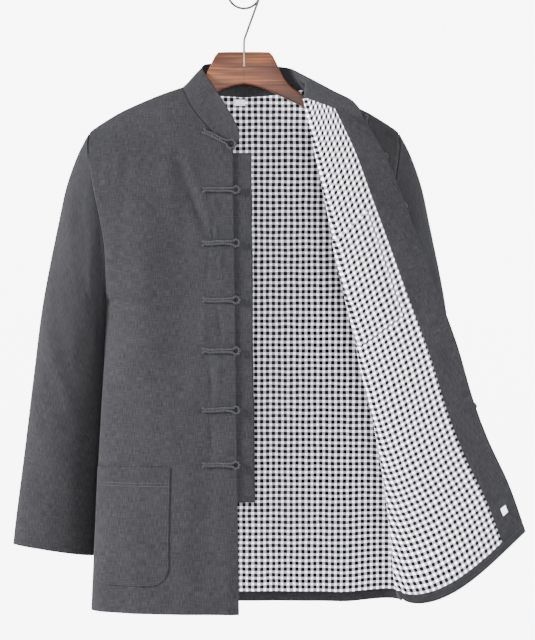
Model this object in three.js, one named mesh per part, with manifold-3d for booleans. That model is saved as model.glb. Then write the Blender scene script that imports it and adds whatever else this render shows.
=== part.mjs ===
// A Tang jacket with a stand collar, seven frog fastenings and a gingham lining. It hangs open on a
// wooden clothes hanger, with its left front turned back so that the lining shows.
// Millimetres, +Z up, the front towards -Y and the wearer's right towards -X. The origin is the inner
// top of the hanger's hook, where the rail bears.
import * as THREE from 'three';
import { mergeVertices } from 'three/addons/utils/BufferGeometryUtils.js';
import Module from 'manifold-3d';

const wasm = await Module();
wasm.setup();

// ---------- Driving dimensions ----------
const SEAM_GAP = 0.3;
// Cloth layers as distances from the garment's middle surface, positive towards the outside.
const SHELL = { inside: 0.15, outside: 1.65 };
const LINING = { inside: -1.15, outside: -0.15 };
const LINED_SHELL = { inside: -1.15, outside: 1.65 };
const LAID_ON = 1.2;             // thickness of a pocket or placket
const LABEL_THICKNESS = 0.8;
const COLLAR_HALF_THICKNESS = 0.9;
const SLEEVE_WALL = 1.5;

const HEM_Z = -888;
const HEM_TURN = 13.5;           // the shell turns up over the lining by this much
const HEM_STEP = 1;
const TIP = { x: 217, z: -221 }; // outer end of the shoulder seam
const NECK_X = 87;               // the shoulder seam's inner end
const UNDERARM_Z = -455;
const ARMHOLE_HALF_DEPTH = 38;
const SHOULDER_ROUNDING = 250;   // height over which the body swells to its full depth
const FRONT_EDGE = { topX: 15, topZ: -247, hemX: 6 };
// The turned-back front drags the left side of the hem outwards and up.
const HEM_PULL = { outwards: 8, upwards: 9, fromZ: -650, fromShare: 0.6 };
const FRONT_DROP = 2.5;          // the right front hangs this much lower than the back

// Columns and rows of the cloth grids.
const NECK_COLUMNS = 7;
const BACK_NECK_COLUMNS = 4;
const SHOULDER_COLUMNS = 8;
const BODY_ROWS = 16;
const ROW_CROWDING = 1.8;        // rows lie closer together towards the shoulder

// The closed body by height: half width at the side seams, half depth front to back, and how square.
const BODY = [
  { z: -157, halfWidth: 217, halfDepth: 52, squareness: 4 },
  { z: -221, halfWidth: 217, halfDepth: 53, squareness: 4 },
  { z: -240, halfWidth: 218, halfDepth: 53, squareness: 4 },
  { z: -270, halfWidth: 214, halfDepth: 53.5, squareness: 3.6 },
  { z: -303, halfWidth: 208, halfDepth: 54, squareness: 3.2 },
  { z: -340, halfWidth: 200, halfDepth: 54, squareness: 2.9 },
  { z: -380, halfWidth: 193.5, halfDepth: 55, squareness: 2.6 },
  { z: -420, halfWidth: 192, halfDepth: 55, squareness: 2.5 },
  { z: -455, halfWidth: 192.5, halfDepth: 56, squareness: 2.5 },
  { z: -520, halfWidth: 194.5, halfDepth: 58, squareness: 2.5 },
  { z: -600, halfWidth: 199, halfDepth: 61, squareness: 2.5 },
  { z: -700, halfWidth: 204.5, halfDepth: 64.5, squareness: 2.5 },
  { z: -800, halfWidth: 209.5, halfDepth: 68, squareness: 2.5 },
  { z: -888, halfWidth: 213.5, halfDepth: 70, squareness: 2.5 },
];

// Seams by distance from the centre line.
const SHOULDER_SEAM = [
  { x: 87, z: -157 },
  { x: 121, z: -169 },
  { x: 171, z: -191 },
  { x: 194, z: -204.5 },
  { x: 212, z: -216.5 },
  { x: 217, z: -221 },
];
const FRONT_NECK_SEAM = [
  { x: 15, z: -247 },
  { x: 32, z: -235 },
  { x: 61, z: -202.5 },
  { x: 76, z: -182 },
  { x: 87, z: -157 },
];
const BACK_NECK_SEAM = [
  { x: 0, z: -168 },
  { x: 45, z: -164.5 },
  { x: 75, z: -159 },
  { x: 87, z: -157 },
];

// Large soft folds of the body cloth; a negative depth is a trough.
const FOLDS = [
  { face: 'front', fromX: -104, fromZ: -212, toX: -50, toZ: -370, width: 15, depth: 3.2 },
  { face: 'front', fromX: -181, fromZ: -232, toX: -186, toZ: -330, width: 9, depth: -2.4 },
  { face: 'front', fromX: -150, fromZ: -330, toX: -128, toZ: -560, width: 22, depth: 2.2 },
  { face: 'front', fromX: -46, fromZ: -560, toX: -47, toZ: -860, width: 16, depth: -2.2 },
  { face: 'front', fromX: -85, fromZ: -640, toX: -78, toZ: -888, width: 18, depth: 2.6 },
  { face: 'front', fromX: -168, fromZ: -620, toX: -176, toZ: -888, width: 15, depth: -2 },
  { face: 'back', fromX: -150, fromZ: -260, toX: -112, toZ: -470, width: 16, depth: -3 },
  { face: 'back', fromX: 150, fromZ: -250, toX: 96, toZ: -500, width: 17, depth: -3.4 },
  { face: 'back', fromX: -64, fromZ: -430, toX: -82, toZ: -888, width: 26, depth: 3 },
  { face: 'back', fromX: 18, fromZ: -520, toX: 8, toZ: -888, width: 22, depth: -2.8 },
  { face: 'back', fromX: 98, fromZ: -560, toX: 118, toZ: -888, width: 24, depth: 2.8 },
];

// The turned-back left front: the fold from neck to hem, and the front edge from collar to corner.
const TURN_BACK_FOLD = [
  { x: 84, z: -174, radius: 4.5, drop: 0 },
  { x: 93, z: -219, radius: 5, drop: 0 },
  { x: 104, z: -273, radius: 5.5, drop: 0 },
  { x: 122.5, z: -362, radius: 6, drop: 0 },
  { x: 133.6, z: -423, radius: 6, drop: 0 },
  { x: 150, z: -486, radius: 6, drop: 2 },
  { x: 164, z: -556, radius: 6, drop: 5 },
  { x: 184, z: -640, radius: 6, drop: 9 },
  { x: 197, z: -715, radius: 6, drop: 14 },
  { x: 206, z: -788, radius: 5, drop: 22 },
  { x: 211, z: -851, radius: 4.5, drop: 29 },
  { x: 217, z: -872, radius: 4, drop: 31 },
];
const TURNED_EDGE = [
  { x: 169, y: -44, z: -207 },
  { x: 177.7, y: -49, z: -221 },
  { x: 197.7, y: -54, z: -257 },
  { x: 220, y: -57, z: -314 },
  { x: 240, y: -58, z: -365.5 },
  { x: 267, y: -58, z: -438 },
  { x: 296, y: -58, z: -518 },
  { x: 318, y: -57, z: -593 },
  { x: 339, y: -55, z: -649 },
  { x: 368, y: -51, z: -711 },
  { x: 392, y: -46, z: -777.5 },
];
const SIDE_COLUMNS = 5;
const ARC_COLUMNS = 3;           // for each quarter of the fold
const FLAP_COLUMNS = 6;
const FACING_COLUMNS = 2;
const FACING = { topWidth: 48, hemWidth: 39 };
const FLAP_SAG = { depth: 26, outwards: 0.475, downwards: -0.88, fade: 5, towardsFold: 0.62 };
const SEAM_FADE = 6;             // how fast the shoulder seam's curve fades out of the rows below it
const FLAP_FULLNESS = 7;

// Sleeve sections by distance down from the armhole: the outer and inner points of each oval, and how
// far its inner side is tucked behind the body.
const SLEEVE = [
  { down: 0, outerX: 219, outerZ: -221, innerX: 195, innerZ: -455, halfDepth: 38, centreY: 0, tuck: 0 },
  { down: 33, outerX: 234, outerZ: -250, innerX: 195.6, innerZ: -470, halfDepth: 42, centreY: 0, tuck: 4 },
  { down: 80, outerX: 250, outerZ: -295, innerX: 196.2, innerZ: -490, halfDepth: 45, centreY: 0, tuck: 11 },
  { down: 131, outerX: 261, outerZ: -345, innerX: 196.8, innerZ: -515, halfDepth: 45, centreY: 1, tuck: 17 },
  { down: 244, outerX: 283, outerZ: -455, innerX: 198.5, innerZ: -580, halfDepth: 44, centreY: 4, tuck: 22 },
  { down: 358, outerX: 298, outerZ: -568, innerX: 200.5, innerZ: -650, halfDepth: 40, centreY: 8, tuck: 24 },
  { down: 471, outerX: 312, outerZ: -680, innerX: 204, innerZ: -732, halfDepth: 36, centreY: 11, tuck: 24 },
  { down: 556, outerX: 323, outerZ: -765, innerX: 208, innerZ: -792, halfDepth: 33, centreY: 13, tuck: 23 },
  { down: 592, outerX: 327, outerZ: -800, innerX: 210, innerZ: -819, halfDepth: 32, centreY: 14, tuck: 22 },
];
const SLEEVE_RINGS = [0, 33, 56, 80, 131, 190, 244, 300, 358, 414, 471, 530, 592];
const SLEEVE_SIDES = 20;

// The collar's free edge by distance along the neck seam, from the right front to the left front.
const COLLAR_TOP = [
  { along: 0, x: -5.5, y: -38, z: -231 },
  { along: 10, x: -8, y: -35, z: -216 },
  { along: 24, x: -15, y: -32, z: -201 },
  { along: 45, x: -24, y: -27, z: -185 },
  { along: 70, x: -34, y: -20, z: -169 },
  { along: 100, x: -47, y: -14, z: -148 },
  { along: 112, x: -53, y: -10, z: -139 },
  { along: 127, x: -59, y: -2, z: -129 },
  { along: 155, x: -50, y: 11, z: -121 },
  { along: 190, x: -25, y: 19, z: -122 },
  { along: 220, x: 0, y: 21, z: -124 },
  { along: 255, x: 30, y: 19, z: -123 },
  { along: 290, x: 56, y: 9, z: -126 },
  { along: 310, x: 68, y: 0, z: -130 },
  { along: 330, x: 80, y: -11, z: -137 },
  { along: 350, x: 95, y: -21, z: -146 },
  { along: 390, x: 128, y: -33, z: -165 },
  { along: 425, x: 150, y: -40, z: -177 },
  { along: 445, x: 161, y: -42, z: -189 },
];
const COLLAR_ROWS = 3;
const COLLAR_LIFT = { level: 0.35, shoulder: 1.6 }; // the collar's foot above the panels' edge

const PLACKET = {
  hiddenX: -40, topX: 10.8, hemX: 15.8, topZ: -250.5, hemZ: -736, clearance: 0.6, columns: 3, rows: 8,
};
const POCKET = { nearEdge: 97, farEdge: 216, topZ: -688, bottomZ: -852, corner: 28 };
const INNER_POCKET = { nearEdge: 58, farEdge: 120, farFlare: 13, topZ: -365, bottomZ: -520 };
const OUTLINE_STEPS = 4;         // stretches along the top, and round each bottom corner
const CUTTER_DEPTH = 400;
const SIZE_LABEL = { nearEdge: 1.5, farEdge: -15, topZ: -170.5, bottomZ: -179 };
const FACING_TAG = { nearEdge: 16, farEdge: 25, topZ: -835, bottomZ: -846 };

// Frog fastenings: two cords side by side that end in a ring, or in a ball knot.
const CORD_RADIUS = 1.5;
const CORD_GAP = 0.35;
const CORD_SIDES = 6;
const FROG = {
  barStartX: -57.6,
  ringX: -10.5,
  ringRadius: 4.4,
  ringOpening: 150,              // degrees either side of the ring's far point
  ringSteps: 8,
  stations: [0, 6, 14, 24],      // points of the bar, from its flared end
  neck: 13,                      // the bar's last point, before the ring's middle
  flare: 1.1,
  lift: 0.6,
  steps: 26,
};
const FROG_HEIGHTS = [-303, -377, -456, -526.5, -608, -684];
const TOP_FROG = { fromX: -57, fromZ: -219.6, ringX: -17.6, ringZ: -238.6, lift: 0.2 };
const KNOT = {
  barLength: 46,
  barEnd: 8,                     // the length over which the bar's end flares
  ballRadius: 4.8,
  rootBack: 1,                   // where the cords leave the ball, back from its middle
  rootSpread: 0.4,
  turnOut: 1.8,                  // where they turn over the front edge
  landing: [5.5, 10],            // where they reach the panel and lie flat
  steps: 10,
};
// The balls by height on the panel: how far out from the front edge and how far above the cloth's
// middle each one sits, and how far it has slipped along the edge. Most are tucked behind it.
const KNOTS = [
  { down: -248, out: 5.2, lift: 1.5, slip: -9 },
  { down: -305, out: 1.4, lift: 7, slip: 0 },
  { down: -383, out: 1.2, lift: 7, slip: 0 },
  { down: -462, out: -1.2, lift: 7, slip: 0 },
  { down: -535, out: -2, lift: 7, slip: 0 },
  { down: -616, out: -2.8, lift: 7, slip: 0 },
  { down: -690, out: -0.8, lift: 7, slip: 0 },
];
const EDGE_PROBE = 12;           // distance from the front edge that gives its direction in the cloth

// The hanger by distance from its middle. Past the neck its top lies just under the shoulder seam.
const HANGER = [
  { x: 0.15, top: -106, bottom: -151, halfThickness: 6.5 },
  { x: 36, top: -106, bottom: -161, halfThickness: 6.5 },
  { x: 41, top: -112, bottom: -163, halfThickness: 6.5 },
  { x: 47, top: -124, bottom: -166, halfThickness: 6.5 },
  { x: 56, top: -142.5, bottom: -170, halfThickness: 6.2 },
  { x: 83, top: -167.5, bottom: -182.5, halfThickness: 5.6 },
  { x: 121, top: -178, bottom: -197, halfThickness: 6.5 },
  { x: 150, top: -186, bottom: -206, halfThickness: 6.5 },
];
const HANGER_TIP = {
  fromX: 171, toX: 206, rings: 3, halfThickness: 5.5, height: 18, belowSeam: 2.7,
  endDrop: 3, endHeight: 9.9, endHalfThickness: 3.85,
};
const HANGER_SIDES = 12;
const HANGER_ROUNDNESS = 0.7;    // 1 is an oval section, less is squarer
const HOOK = {
  wireRadius: 1.6, footZ: -105.7, slant: 20.4, radius: 23, sweep: 225, arcSteps: 16, steps: 40, sides: 8,
};
const HOOK_BEND = [{ x: 0, z: -92 }, { x: 1.2, z: -85 }];

// ---------- Materials ----------
const cloth = new THREE.MeshStandardMaterial({ color: '#55545a', roughness: 0.95 });
const gingham = new THREE.MeshStandardMaterial({ color: '#9a9a9c', roughness: 0.9 });
const cord = new THREE.MeshStandardMaterial({ color: '#3c3b40', roughness: 0.9 });
const label = new THREE.MeshStandardMaterial({ color: '#efeff0', roughness: 0.8 });
const wood = new THREE.MeshStandardMaterial({ color: '#9a7058', roughness: 0.55 });
const wire = new THREE.MeshStandardMaterial({ color: '#b9b9bc', roughness: 0.3, metalness: 1 });

const jacket = new THREE.Group();

function addPiece(name, geometry, material) {
  const mesh = new THREE.Mesh(geometry, material);
  mesh.name = name;
  jacket.add(mesh);
}

// ---------- Smooth tables ----------
const lerp = THREE.MathUtils.lerp;
const spread = (count, at) => Array.from({ length: count + 1 }, (_, index) => at(index / count));

// Reads column `name` of a table at `value` of column `by`, along a smooth curve through the rows.
function lookUp(table, by, value, name) {
  const rising = table.at(-1)[by] > table[0][by];
  const place = (row) => (rising ? row[by] : -row[by]);
  const target = THREE.MathUtils.clamp(rising ? value : -value, place(table[0]), place(table.at(-1)));
  const last = table.length - 2;
  let index = 0;
  while (index < last && place(table[index + 1]) < target) index += 1;
  const slopeAt = (at) => {
    const before = table[Math.max(at - 1, 0)];
    const after = table[Math.min(at + 1, table.length - 1)];
    return (after[name] - before[name]) / (place(after) - place(before));
  };
  const step = place(table[index + 1]) - place(table[index]);
  const t = (target - place(table[index])) / step;
  const start = table[index][name];
  const end = table[index + 1][name];
  const bendStart = slopeAt(index) * step * t * (1 - t) ** 2;
  const bendEnd = slopeAt(index + 1) * step * t * t * (1 - t);
  return start + (end - start) * t * t * (3 - 2 * t) + bendStart - bendEnd;
}

// Adds column `along`, the fraction of the line's length from its first row.
function withLength(table) {
  let length = 0;
  const rows = table.map((row, index) => {
    const before = table[Math.max(index - 1, 0)];
    length += Math.hypot(row.x - before.x, row.z - before.z);
    return { ...row, along: length };
  });
  return rows.map((row) => ({ ...row, along: row.along / length }));
}

// ---------- The body's middle surface ----------
function halfWidth(z, side) {
  const pulled = THREE.MathUtils.smoothstep(-z, -HEM_PULL.fromZ, -HEM_Z);
  return lookUp(BODY, 'z', z, 'halfWidth') + (side > 0 ? HEM_PULL.outwards * pulled : 0);
}

// How far the pull raises the cloth at a share of the way from the centre to the left side seam.
function hemRise(share, z) {
  const down = THREE.MathUtils.smoothstep(-z, -HEM_PULL.fromZ, -HEM_Z);
  return HEM_PULL.upwards * down * THREE.MathUtils.smoothstep(share, HEM_PULL.fromShare, 1);
}

function armholeHalfDepth(z) {
  const middle = (TIP.z + UNDERARM_Z) / 2;
  const reach = (TIP.z - UNDERARM_Z) / 2;
  return ARMHOLE_HALF_DEPTH * Math.sqrt(Math.max(0, 1 - ((z - middle) / reach) ** 2));
}

function foldHeight(face, x, z) {
  let height = 0;
  for (const fold of FOLDS.filter((row) => row.face === face)) {
    const runX = fold.toX - fold.fromX;
    const runZ = fold.toZ - fold.fromZ;
    const run = ((x - fold.fromX) * runX + (z - fold.fromZ) * runZ) / (runX ** 2 + runZ ** 2);
    const t = THREE.MathUtils.clamp(run, 0, 1);
    const away = Math.hypot(x - fold.fromX - runX * t, z - fold.fromZ - runZ * t) / fold.width;
    const atHem = fold.toZ <= HEM_Z;
    const taper = atHem ? Math.sin((Math.PI / 2) * t) : Math.sin(Math.PI * t);
    height += fold.depth * taper * Math.exp(-away * away);
  }
  return height;
}

// Distance of the cloth from the plane of the side seams, at (x, z) on the front or back.
function bodyDepth(face, x, z) {
  const width = halfWidth(z, Math.sign(x));
  const share = Math.min(Math.abs(x) / width, 1);
  const seamZ = lookUp(SHOULDER_SEAM, 'x', Math.max(Math.abs(x), NECK_X), 'z');
  const below = THREE.MathUtils.clamp((seamZ - z) / SHOULDER_ROUNDING, 0, 1);
  const full = lookUp(BODY, 'z', z, 'halfDepth') * Math.sqrt(1 - (1 - below) ** 2);
  const squareness = lookUp(BODY, 'z', z, 'squareness');
  const roundOff = Math.max(0, 1 - share ** squareness) ** (1 / squareness);
  const armhole = armholeHalfDepth(z);
  return armhole + (full - armhole + foldHeight(face, x, z) * Math.sqrt(below)) * roundOff;
}

// Row heights: crowded towards the shoulder, then the step and the bottom of the turned-up hem.
function rowHeight(topZ, row) {
  if (row > BODY_ROWS) return row === BODY_ROWS + 1 ? HEM_Z + HEM_TURN - HEM_STEP : HEM_Z;
  return lerp(topZ, HEM_Z + HEM_TURN, (row / BODY_ROWS) ** ROW_CROWDING);
}
const LAST_ROW = BODY_ROWS + 2;

// ---------- Cloth grids ----------
// A grid is a list of columns of { point, normal, across, down }, the normal pointing outside.
function makeGrid(columns, rows, describe, outwards) {
  const grid = spread(columns, (s) => spread(rows, (t) => (
    describe(Math.round(s * columns), Math.round(t * rows)))));
  grid.forEach((column, i) => column.forEach((cell, j) => {
    const left = grid[Math.max(i - 1, 0)][j].point;
    const right = grid[Math.min(i + 1, columns)][j].point;
    const above = column[Math.max(j - 1, 0)].point;
    const below = column[Math.min(j + 1, rows)].point;
    const along = right.clone().sub(left);
    const normal = along.cross(below.clone().sub(above)).multiplyScalar(outwards);
    // On a seam in the plane y = 0 the normal stays in that plane, so front and back don't cross.
    if (Math.abs(cell.point.y) < 0.01) normal.y = 0;
    cell.normal = normal.normalize();
  }));
  return grid;
}

// The cell at fractional column `a` and row `b`, between its four neighbours.
function cellAt(grid, a, b) {
  const i = THREE.MathUtils.clamp(Math.floor(a), 0, grid.length - 2);
  const j = THREE.MathUtils.clamp(Math.floor(b), 0, grid[0].length - 2);
  const mix = (read) => {
    const top = read(grid[i][j]).clone().lerp(read(grid[i + 1][j]), a - i);
    return top.lerp(read(grid[i][j + 1]).clone().lerp(read(grid[i + 1][j + 1]), a - i), b - j);
  };
  const place = mix((cell) => new THREE.Vector2(cell.across, cell.down));
  const point = mix((cell) => cell.point);
  const normal = mix((cell) => cell.normal).normalize();
  return { point, normal, across: place.x, down: place.y };
}

// The cell with the wanted `across` and `down`, or the nearest on the grid's edge.
function find(grid, across, down) {
  const lastA = grid.length - 1;
  const lastB = grid[0].length - 1;
  let a = lastA / 2;
  let b = lastB / 2;
  const probe = 0.01;
  const rounds = 40;
  const longest = 2;
  for (let round = 0; round < rounds; round += 1) {
    const here = cellAt(grid, a, b);
    const byA = cellAt(grid, a + probe, b);
    const byB = cellAt(grid, a, b + probe);
    const dAcrossA = (byA.across - here.across) / probe;
    const dDownA = (byA.down - here.down) / probe;
    const dAcrossB = (byB.across - here.across) / probe;
    const dDownB = (byB.down - here.down) / probe;
    const area = dAcrossA * dDownB - dAcrossB * dDownA;
    const missAcross = across - here.across;
    const missDown = down - here.down;
    const stepA = (missAcross * dDownB - missDown * dAcrossB) / area;
    const stepB = (missDown * dAcrossA - missAcross * dDownA) / area;
    a = THREE.MathUtils.clamp(a + THREE.MathUtils.clamp(stepA, -longest, longest), 0, lastA);
    b = THREE.MathUtils.clamp(b + THREE.MathUtils.clamp(stepB, -longest, longest), 0, lastB);
  }
  return cellAt(grid, a, b);
}

// Sets `across` to the distance along each row from the grid's column `edge`, its front edge.
function measureFrom(grid, edge) {
  const step = edge === 0 ? 1 : -1;
  for (let j = 0; j < grid[0].length; j += 1) {
    let length = 0;
    for (let i = edge; grid[i]; i += step) {
      if (i !== edge) length += grid[i][j].point.distanceTo(grid[i - step][j].point);
      grid[i][j].across = length;
    }
  }
}

// ---------- Closed solids ----------
function solidFrom(points, triangles) {
  const geometry = new THREE.BufferGeometry();
  const positions = points.flatMap((point) => point.toArray());
  let volume = 0;
  for (const [a, b, c] of triangles) {
    volume += points[a].dot(points[b].clone().cross(points[c]));
  }
  const faces = volume > 0 ? triangles : triangles.map(([a, b, c]) => [a, c, b]);
  geometry.setAttribute('position', new THREE.Float32BufferAttribute(positions, 3));
  geometry.setIndex(faces.flat());
  geometry.computeVertexNormals();
  return geometry;
}

// A wall of cloth through part of a grid, between two distances from its middle surface. Its edges
// are drawn in by half a seam gap.
function wall(grid, layer, part = {}) {
  const { left = 0, right = grid.length - 1, top = 0, bottom = grid[0].length - 1 } = part;
  const ring = part.ring ?? false;
  const insideOf = typeof layer.inside === 'function' ? layer.inside : () => layer.inside;
  const columns = right - left + 1;
  const rows = bottom - top + 1;
  const points = [];
  const drawIn = (cell, neighbour) => (
    neighbour.point.clone().sub(cell.point).normalize().multiplyScalar(SEAM_GAP / 2));
  for (let i = left; i <= right; i += 1) {
    for (let j = top; j <= bottom; j += 1) {
      const cell = grid[i][j];
      const middle = cell.point.clone();
      if (!ring && i === left) middle.add(drawIn(cell, grid[i + 1][j]));
      if (!ring && i === right) middle.add(drawIn(cell, grid[i - 1][j]));
      if (j === top) middle.add(drawIn(cell, grid[i][j + 1]));
      if (j === bottom) middle.add(drawIn(cell, grid[i][j - 1]));
      points.push(middle.clone().addScaledVector(cell.normal, layer.outside));
      points.push(middle.clone().addScaledVector(cell.normal, insideOf(j)));
    }
  }
  const triangles = [];
  const quad = (a, b, c, d) => triangles.push([a, b, c], [a, c, d]);
  const outer = (i, j) => 2 * ((i % columns) * rows + j);
  const inner = (i, j) => outer(i, j) + 1;
  const spans = ring ? columns : columns - 1;
  for (let i = 0; i < spans; i += 1) {
    for (let j = 0; j < rows - 1; j += 1) {
      quad(outer(i, j), outer(i, j + 1), outer(i + 1, j + 1), outer(i + 1, j));
      quad(inner(i, j), inner(i + 1, j), inner(i + 1, j + 1), inner(i, j + 1));
    }
    quad(outer(i, 0), outer(i + 1, 0), inner(i + 1, 0), inner(i, 0));
    quad(outer(i, rows - 1), inner(i, rows - 1), inner(i + 1, rows - 1), outer(i + 1, rows - 1));
  }
  for (let j = 0; !ring && j < rows - 1; j += 1) {
    quad(outer(0, j), inner(0, j), inner(0, j + 1), outer(0, j + 1));
    quad(outer(spans, j), outer(spans, j + 1), inner(spans, j + 1), inner(spans, j));
  }
  return solidFrom(points, triangles);
}

// A bar through rings of points, closed at both ends.
function loft(rings) {
  const sides = rings[0].length;
  const triangles = [];
  for (let k = 0; k < rings.length - 1; k += 1) {
    for (let i = 0; i < sides; i += 1) {
      const next = (i + 1) % sides;
      const a = k * sides + i;
      const b = k * sides + next;
      triangles.push([a, b, b + sides], [a, b + sides, a + sides]);
    }
  }
  const end = (rings.length - 1) * sides;
  for (let i = 1; i < sides - 1; i += 1) {
    triangles.push([0, i + 1, i], [end, end + i, end + i + 1]);
  }
  return solidFrom(rings.flat(), triangles);
}

// A round cord through points.
function tube(points, radius, steps, sides = CORD_SIDES) {
  const corner = (t) => new THREE.Vector2(
    radius * Math.cos(2 * Math.PI * t), radius * Math.sin(2 * Math.PI * t));
  const section = new THREE.Shape(spread(sides, corner).slice(0, sides));
  const extrudePath = new THREE.CatmullRomCurve3(points, false, 'centripetal');
  return new THREE.ExtrudeGeometry(section, { steps, bevelEnabled: false, extrudePath });
}

function toManifold(geometry) {
  const bare = geometry.clone();
  bare.deleteAttribute('normal');
  bare.deleteAttribute('uv');
  const merged = mergeVertices(bare, 1e-3);
  const vertProperties = new Float32Array(merged.attributes.position.array);
  const triVerts = new Uint32Array(merged.index.array);
  return new wasm.Manifold(new wasm.Mesh({ numProp: 3, vertProperties, triVerts }));
}

function fromManifold(solid) {
  const mesh = solid.getMesh();
  const geometry = new THREE.BufferGeometry();
  geometry.setAttribute('position', new THREE.Float32BufferAttribute(mesh.vertProperties, 3));
  geometry.setIndex([...mesh.triVerts]);
  return geometry;
}

function join(geometries) {
  return fromManifold(geometries.map(toManifold).reduce((whole, piece) => whole.add(piece)));
}

// A piece laid on a panel: the panel's own columns from `left` on, moved out to the given layer and
// cut along a box between two distances from the front edge and two heights, round at the bottom.
function laidOn(panel, layer, box, left = 0) {
  const corner = box.corner ?? 0;
  const across = (t) => lerp(box.nearEdge, box.farEdge, t);
  const outline = [];
  const mark = (distance, down) => {
    const { point } = find(panel, distance, down);
    outline.push(new THREE.Vector2(point.x, point.z));
  };
  const turn = (centre, way, from, to) => spread(corner > 0 ? OUTLINE_STEPS : 0, (t) => {
    const angle = (Math.PI / 2) * lerp(from, to, corner > 0 ? t : 0);
    mark(centre + way * corner * Math.sin(angle), box.bottomZ + corner * (1 - Math.cos(angle)));
  });
  spread(OUTLINE_STEPS, (t) => mark(across(t), box.topZ));
  turn(box.farEdge + (box.farFlare ?? 0) - corner, 1, 1, 0);
  turn(box.nearEdge + corner, -1, 0, 1);
  const prism = new THREE.ExtrudeGeometry(
    new THREE.Shape(outline), { depth: CUTTER_DEPTH, bevelEnabled: false });
  prism.rotateX(Math.PI / 2);
  prism.translate(0, CUTTER_DEPTH / 2, 0);
  return fromManifold(toManifold(wall(panel, layer, { left })).intersect(toManifold(prism)));
}

const laidOutside = (thickness) => ({
  inside: SHELL.outside + SEAM_GAP,
  outside: SHELL.outside + SEAM_GAP + thickness,
});
const laidInside = (thickness) => ({
  inside: LINING.inside - SEAM_GAP - thickness,
  outside: LINING.inside - SEAM_GAP,
});

// ---------- Right front, back and back lining ----------
// Distances from the centre at which the columns leave the shoulder seam.
const shoulderColumns = spread(SHOULDER_COLUMNS, (t) => (
  NECK_X + (TIP.x - NECK_X) * Math.sin((Math.PI / 2) * t)));

const onShoulder = (startX, row) => row === 0 && startX >= NECK_X;

function rightFrontGrid() {
  const neck = spread(NECK_COLUMNS, (t) => lerp(FRONT_EDGE.topX, NECK_X, t));
  const starts = [...neck.slice(0, -1), ...shoulderColumns];
  const grid = makeGrid(starts.length - 1, LAST_ROW, (i, j) => {
    const startX = starts[i];
    const seam = startX < NECK_X ? FRONT_NECK_SEAM : SHOULDER_SEAM;
    const top = lookUp(seam, 'x', startX, 'z');
    const drop = 1 + FRONT_DROP / (top - HEM_Z);
    const z = top + (rowHeight(top, j) - top) * drop;
    const down = (z - FRONT_EDGE.topZ) / (HEM_Z - FRONT_EDGE.topZ);
    const edgeX = lerp(FRONT_EDGE.topX, FRONT_EDGE.hemX, THREE.MathUtils.clamp(down, 0, 1));
    const share = (startX - FRONT_EDGE.topX) / (TIP.x - FRONT_EDGE.topX);
    const x = -lerp(edgeX, halfWidth(z, -1), share);
    const y = onShoulder(startX, j) ? 0 : -bodyDepth('front', x, z);
    return { point: new THREE.Vector3(x, y, z), down: z };
  }, 1);
  measureFrom(grid, 0);
  return grid;
}

function backGrid() {
  const half = [...spread(BACK_NECK_COLUMNS, (t) => NECK_X * t).slice(0, -1), ...shoulderColumns];
  const starts = [...half.slice(1).reverse().map((x) => -x), ...half];
  return makeGrid(starts.length - 1, LAST_ROW, (i, j) => {
    const side = Math.sign(starts[i]);
    const startX = Math.abs(starts[i]);
    const seam = startX < NECK_X ? BACK_NECK_SEAM : SHOULDER_SEAM;
    const z = rowHeight(lookUp(seam, 'x', startX, 'z'), j);
    const x = side * halfWidth(z, side) * (startX / TIP.x);
    const y = onShoulder(startX, j) ? 0 : bodyDepth('back', x, z);
    const rise = hemRise(side * startX / TIP.x, z);
    return { point: new THREE.Vector3(x, y, z + rise), across: x, down: z };
  }, 1);
}

// The shell's inner face steps inwards over the turned-up hem.
const shellWithHem = {
  inside: (row) => (row > BODY_ROWS ? LINING.inside : SHELL.inside),
  outside: SHELL.outside,
};

// ---------- Left front, turned back ----------
const foldLine = withLength(TURN_BACK_FOLD);
const edgeLine = withLength(TURNED_EDGE);
const FOLD_CREST = SIDE_COLUMNS + ARC_COLUMNS + 1;
const FLAP_START = SIDE_COLUMNS + 2 * ARC_COLUMNS + 1;
const FACING_START = FLAP_START + FLAP_COLUMNS;
const LEFT_LAST = FACING_START + FACING_COLUMNS;

function leftRow(row) {
  const turn = HEM_TURN / (TIP.z - HEM_Z);
  if (row > BODY_ROWS) return row === LAST_ROW ? 1 : 1 - turn + HEM_STEP / (TIP.z - HEM_Z);
  return (1 - turn) * (row / BODY_ROWS) ** ROW_CROWDING;
}

// The part still lying on the body, from the side seam (0) to the start of the fold (1).
function leftBodyPoint(share, row) {
  const v = leftRow(row);
  const sideZ = rowHeight(TIP.z, row);
  const side = new THREE.Vector2(halfWidth(sideZ, 1), sideZ + hemRise(1, sideZ));
  const foldStart = new THREE.Vector2(
    lookUp(foldLine, 'along', v, 'x') + lookUp(foldLine, 'along', v, 'radius'),
    lookUp(foldLine, 'along', v, 'z'));
  const flat = side.lerp(foldStart, share);
  // The top row runs up the shoulder seam; the last column's top is the start of the fold itself.
  const seamX = lerp(TIP.x, NECK_X, Math.min(1, share * SIDE_COLUMNS / (SIDE_COLUMNS - 1)));
  const seam = new THREE.Vector2(seamX, lookUp(SHOULDER_SEAM, 'x', seamX, 'z'));
  const topFold = new THREE.Vector2(TURN_BACK_FOLD[0].x + TURN_BACK_FOLD[0].radius, TURN_BACK_FOLD[0].z);
  const flatTop = new THREE.Vector2(TIP.x, TIP.z).lerp(topFold, share);
  const onSeam = share > 0 && share < 1;
  if (onSeam) flat.addScaledVector(seam.sub(flatTop), (1 - v) ** SEAM_FADE);
  const y = row === 0 && share < 1 ? 0 : -bodyDepth('front', flat.x, flat.y);
  return new THREE.Vector3(flat.x, y, flat.y);
}

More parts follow.
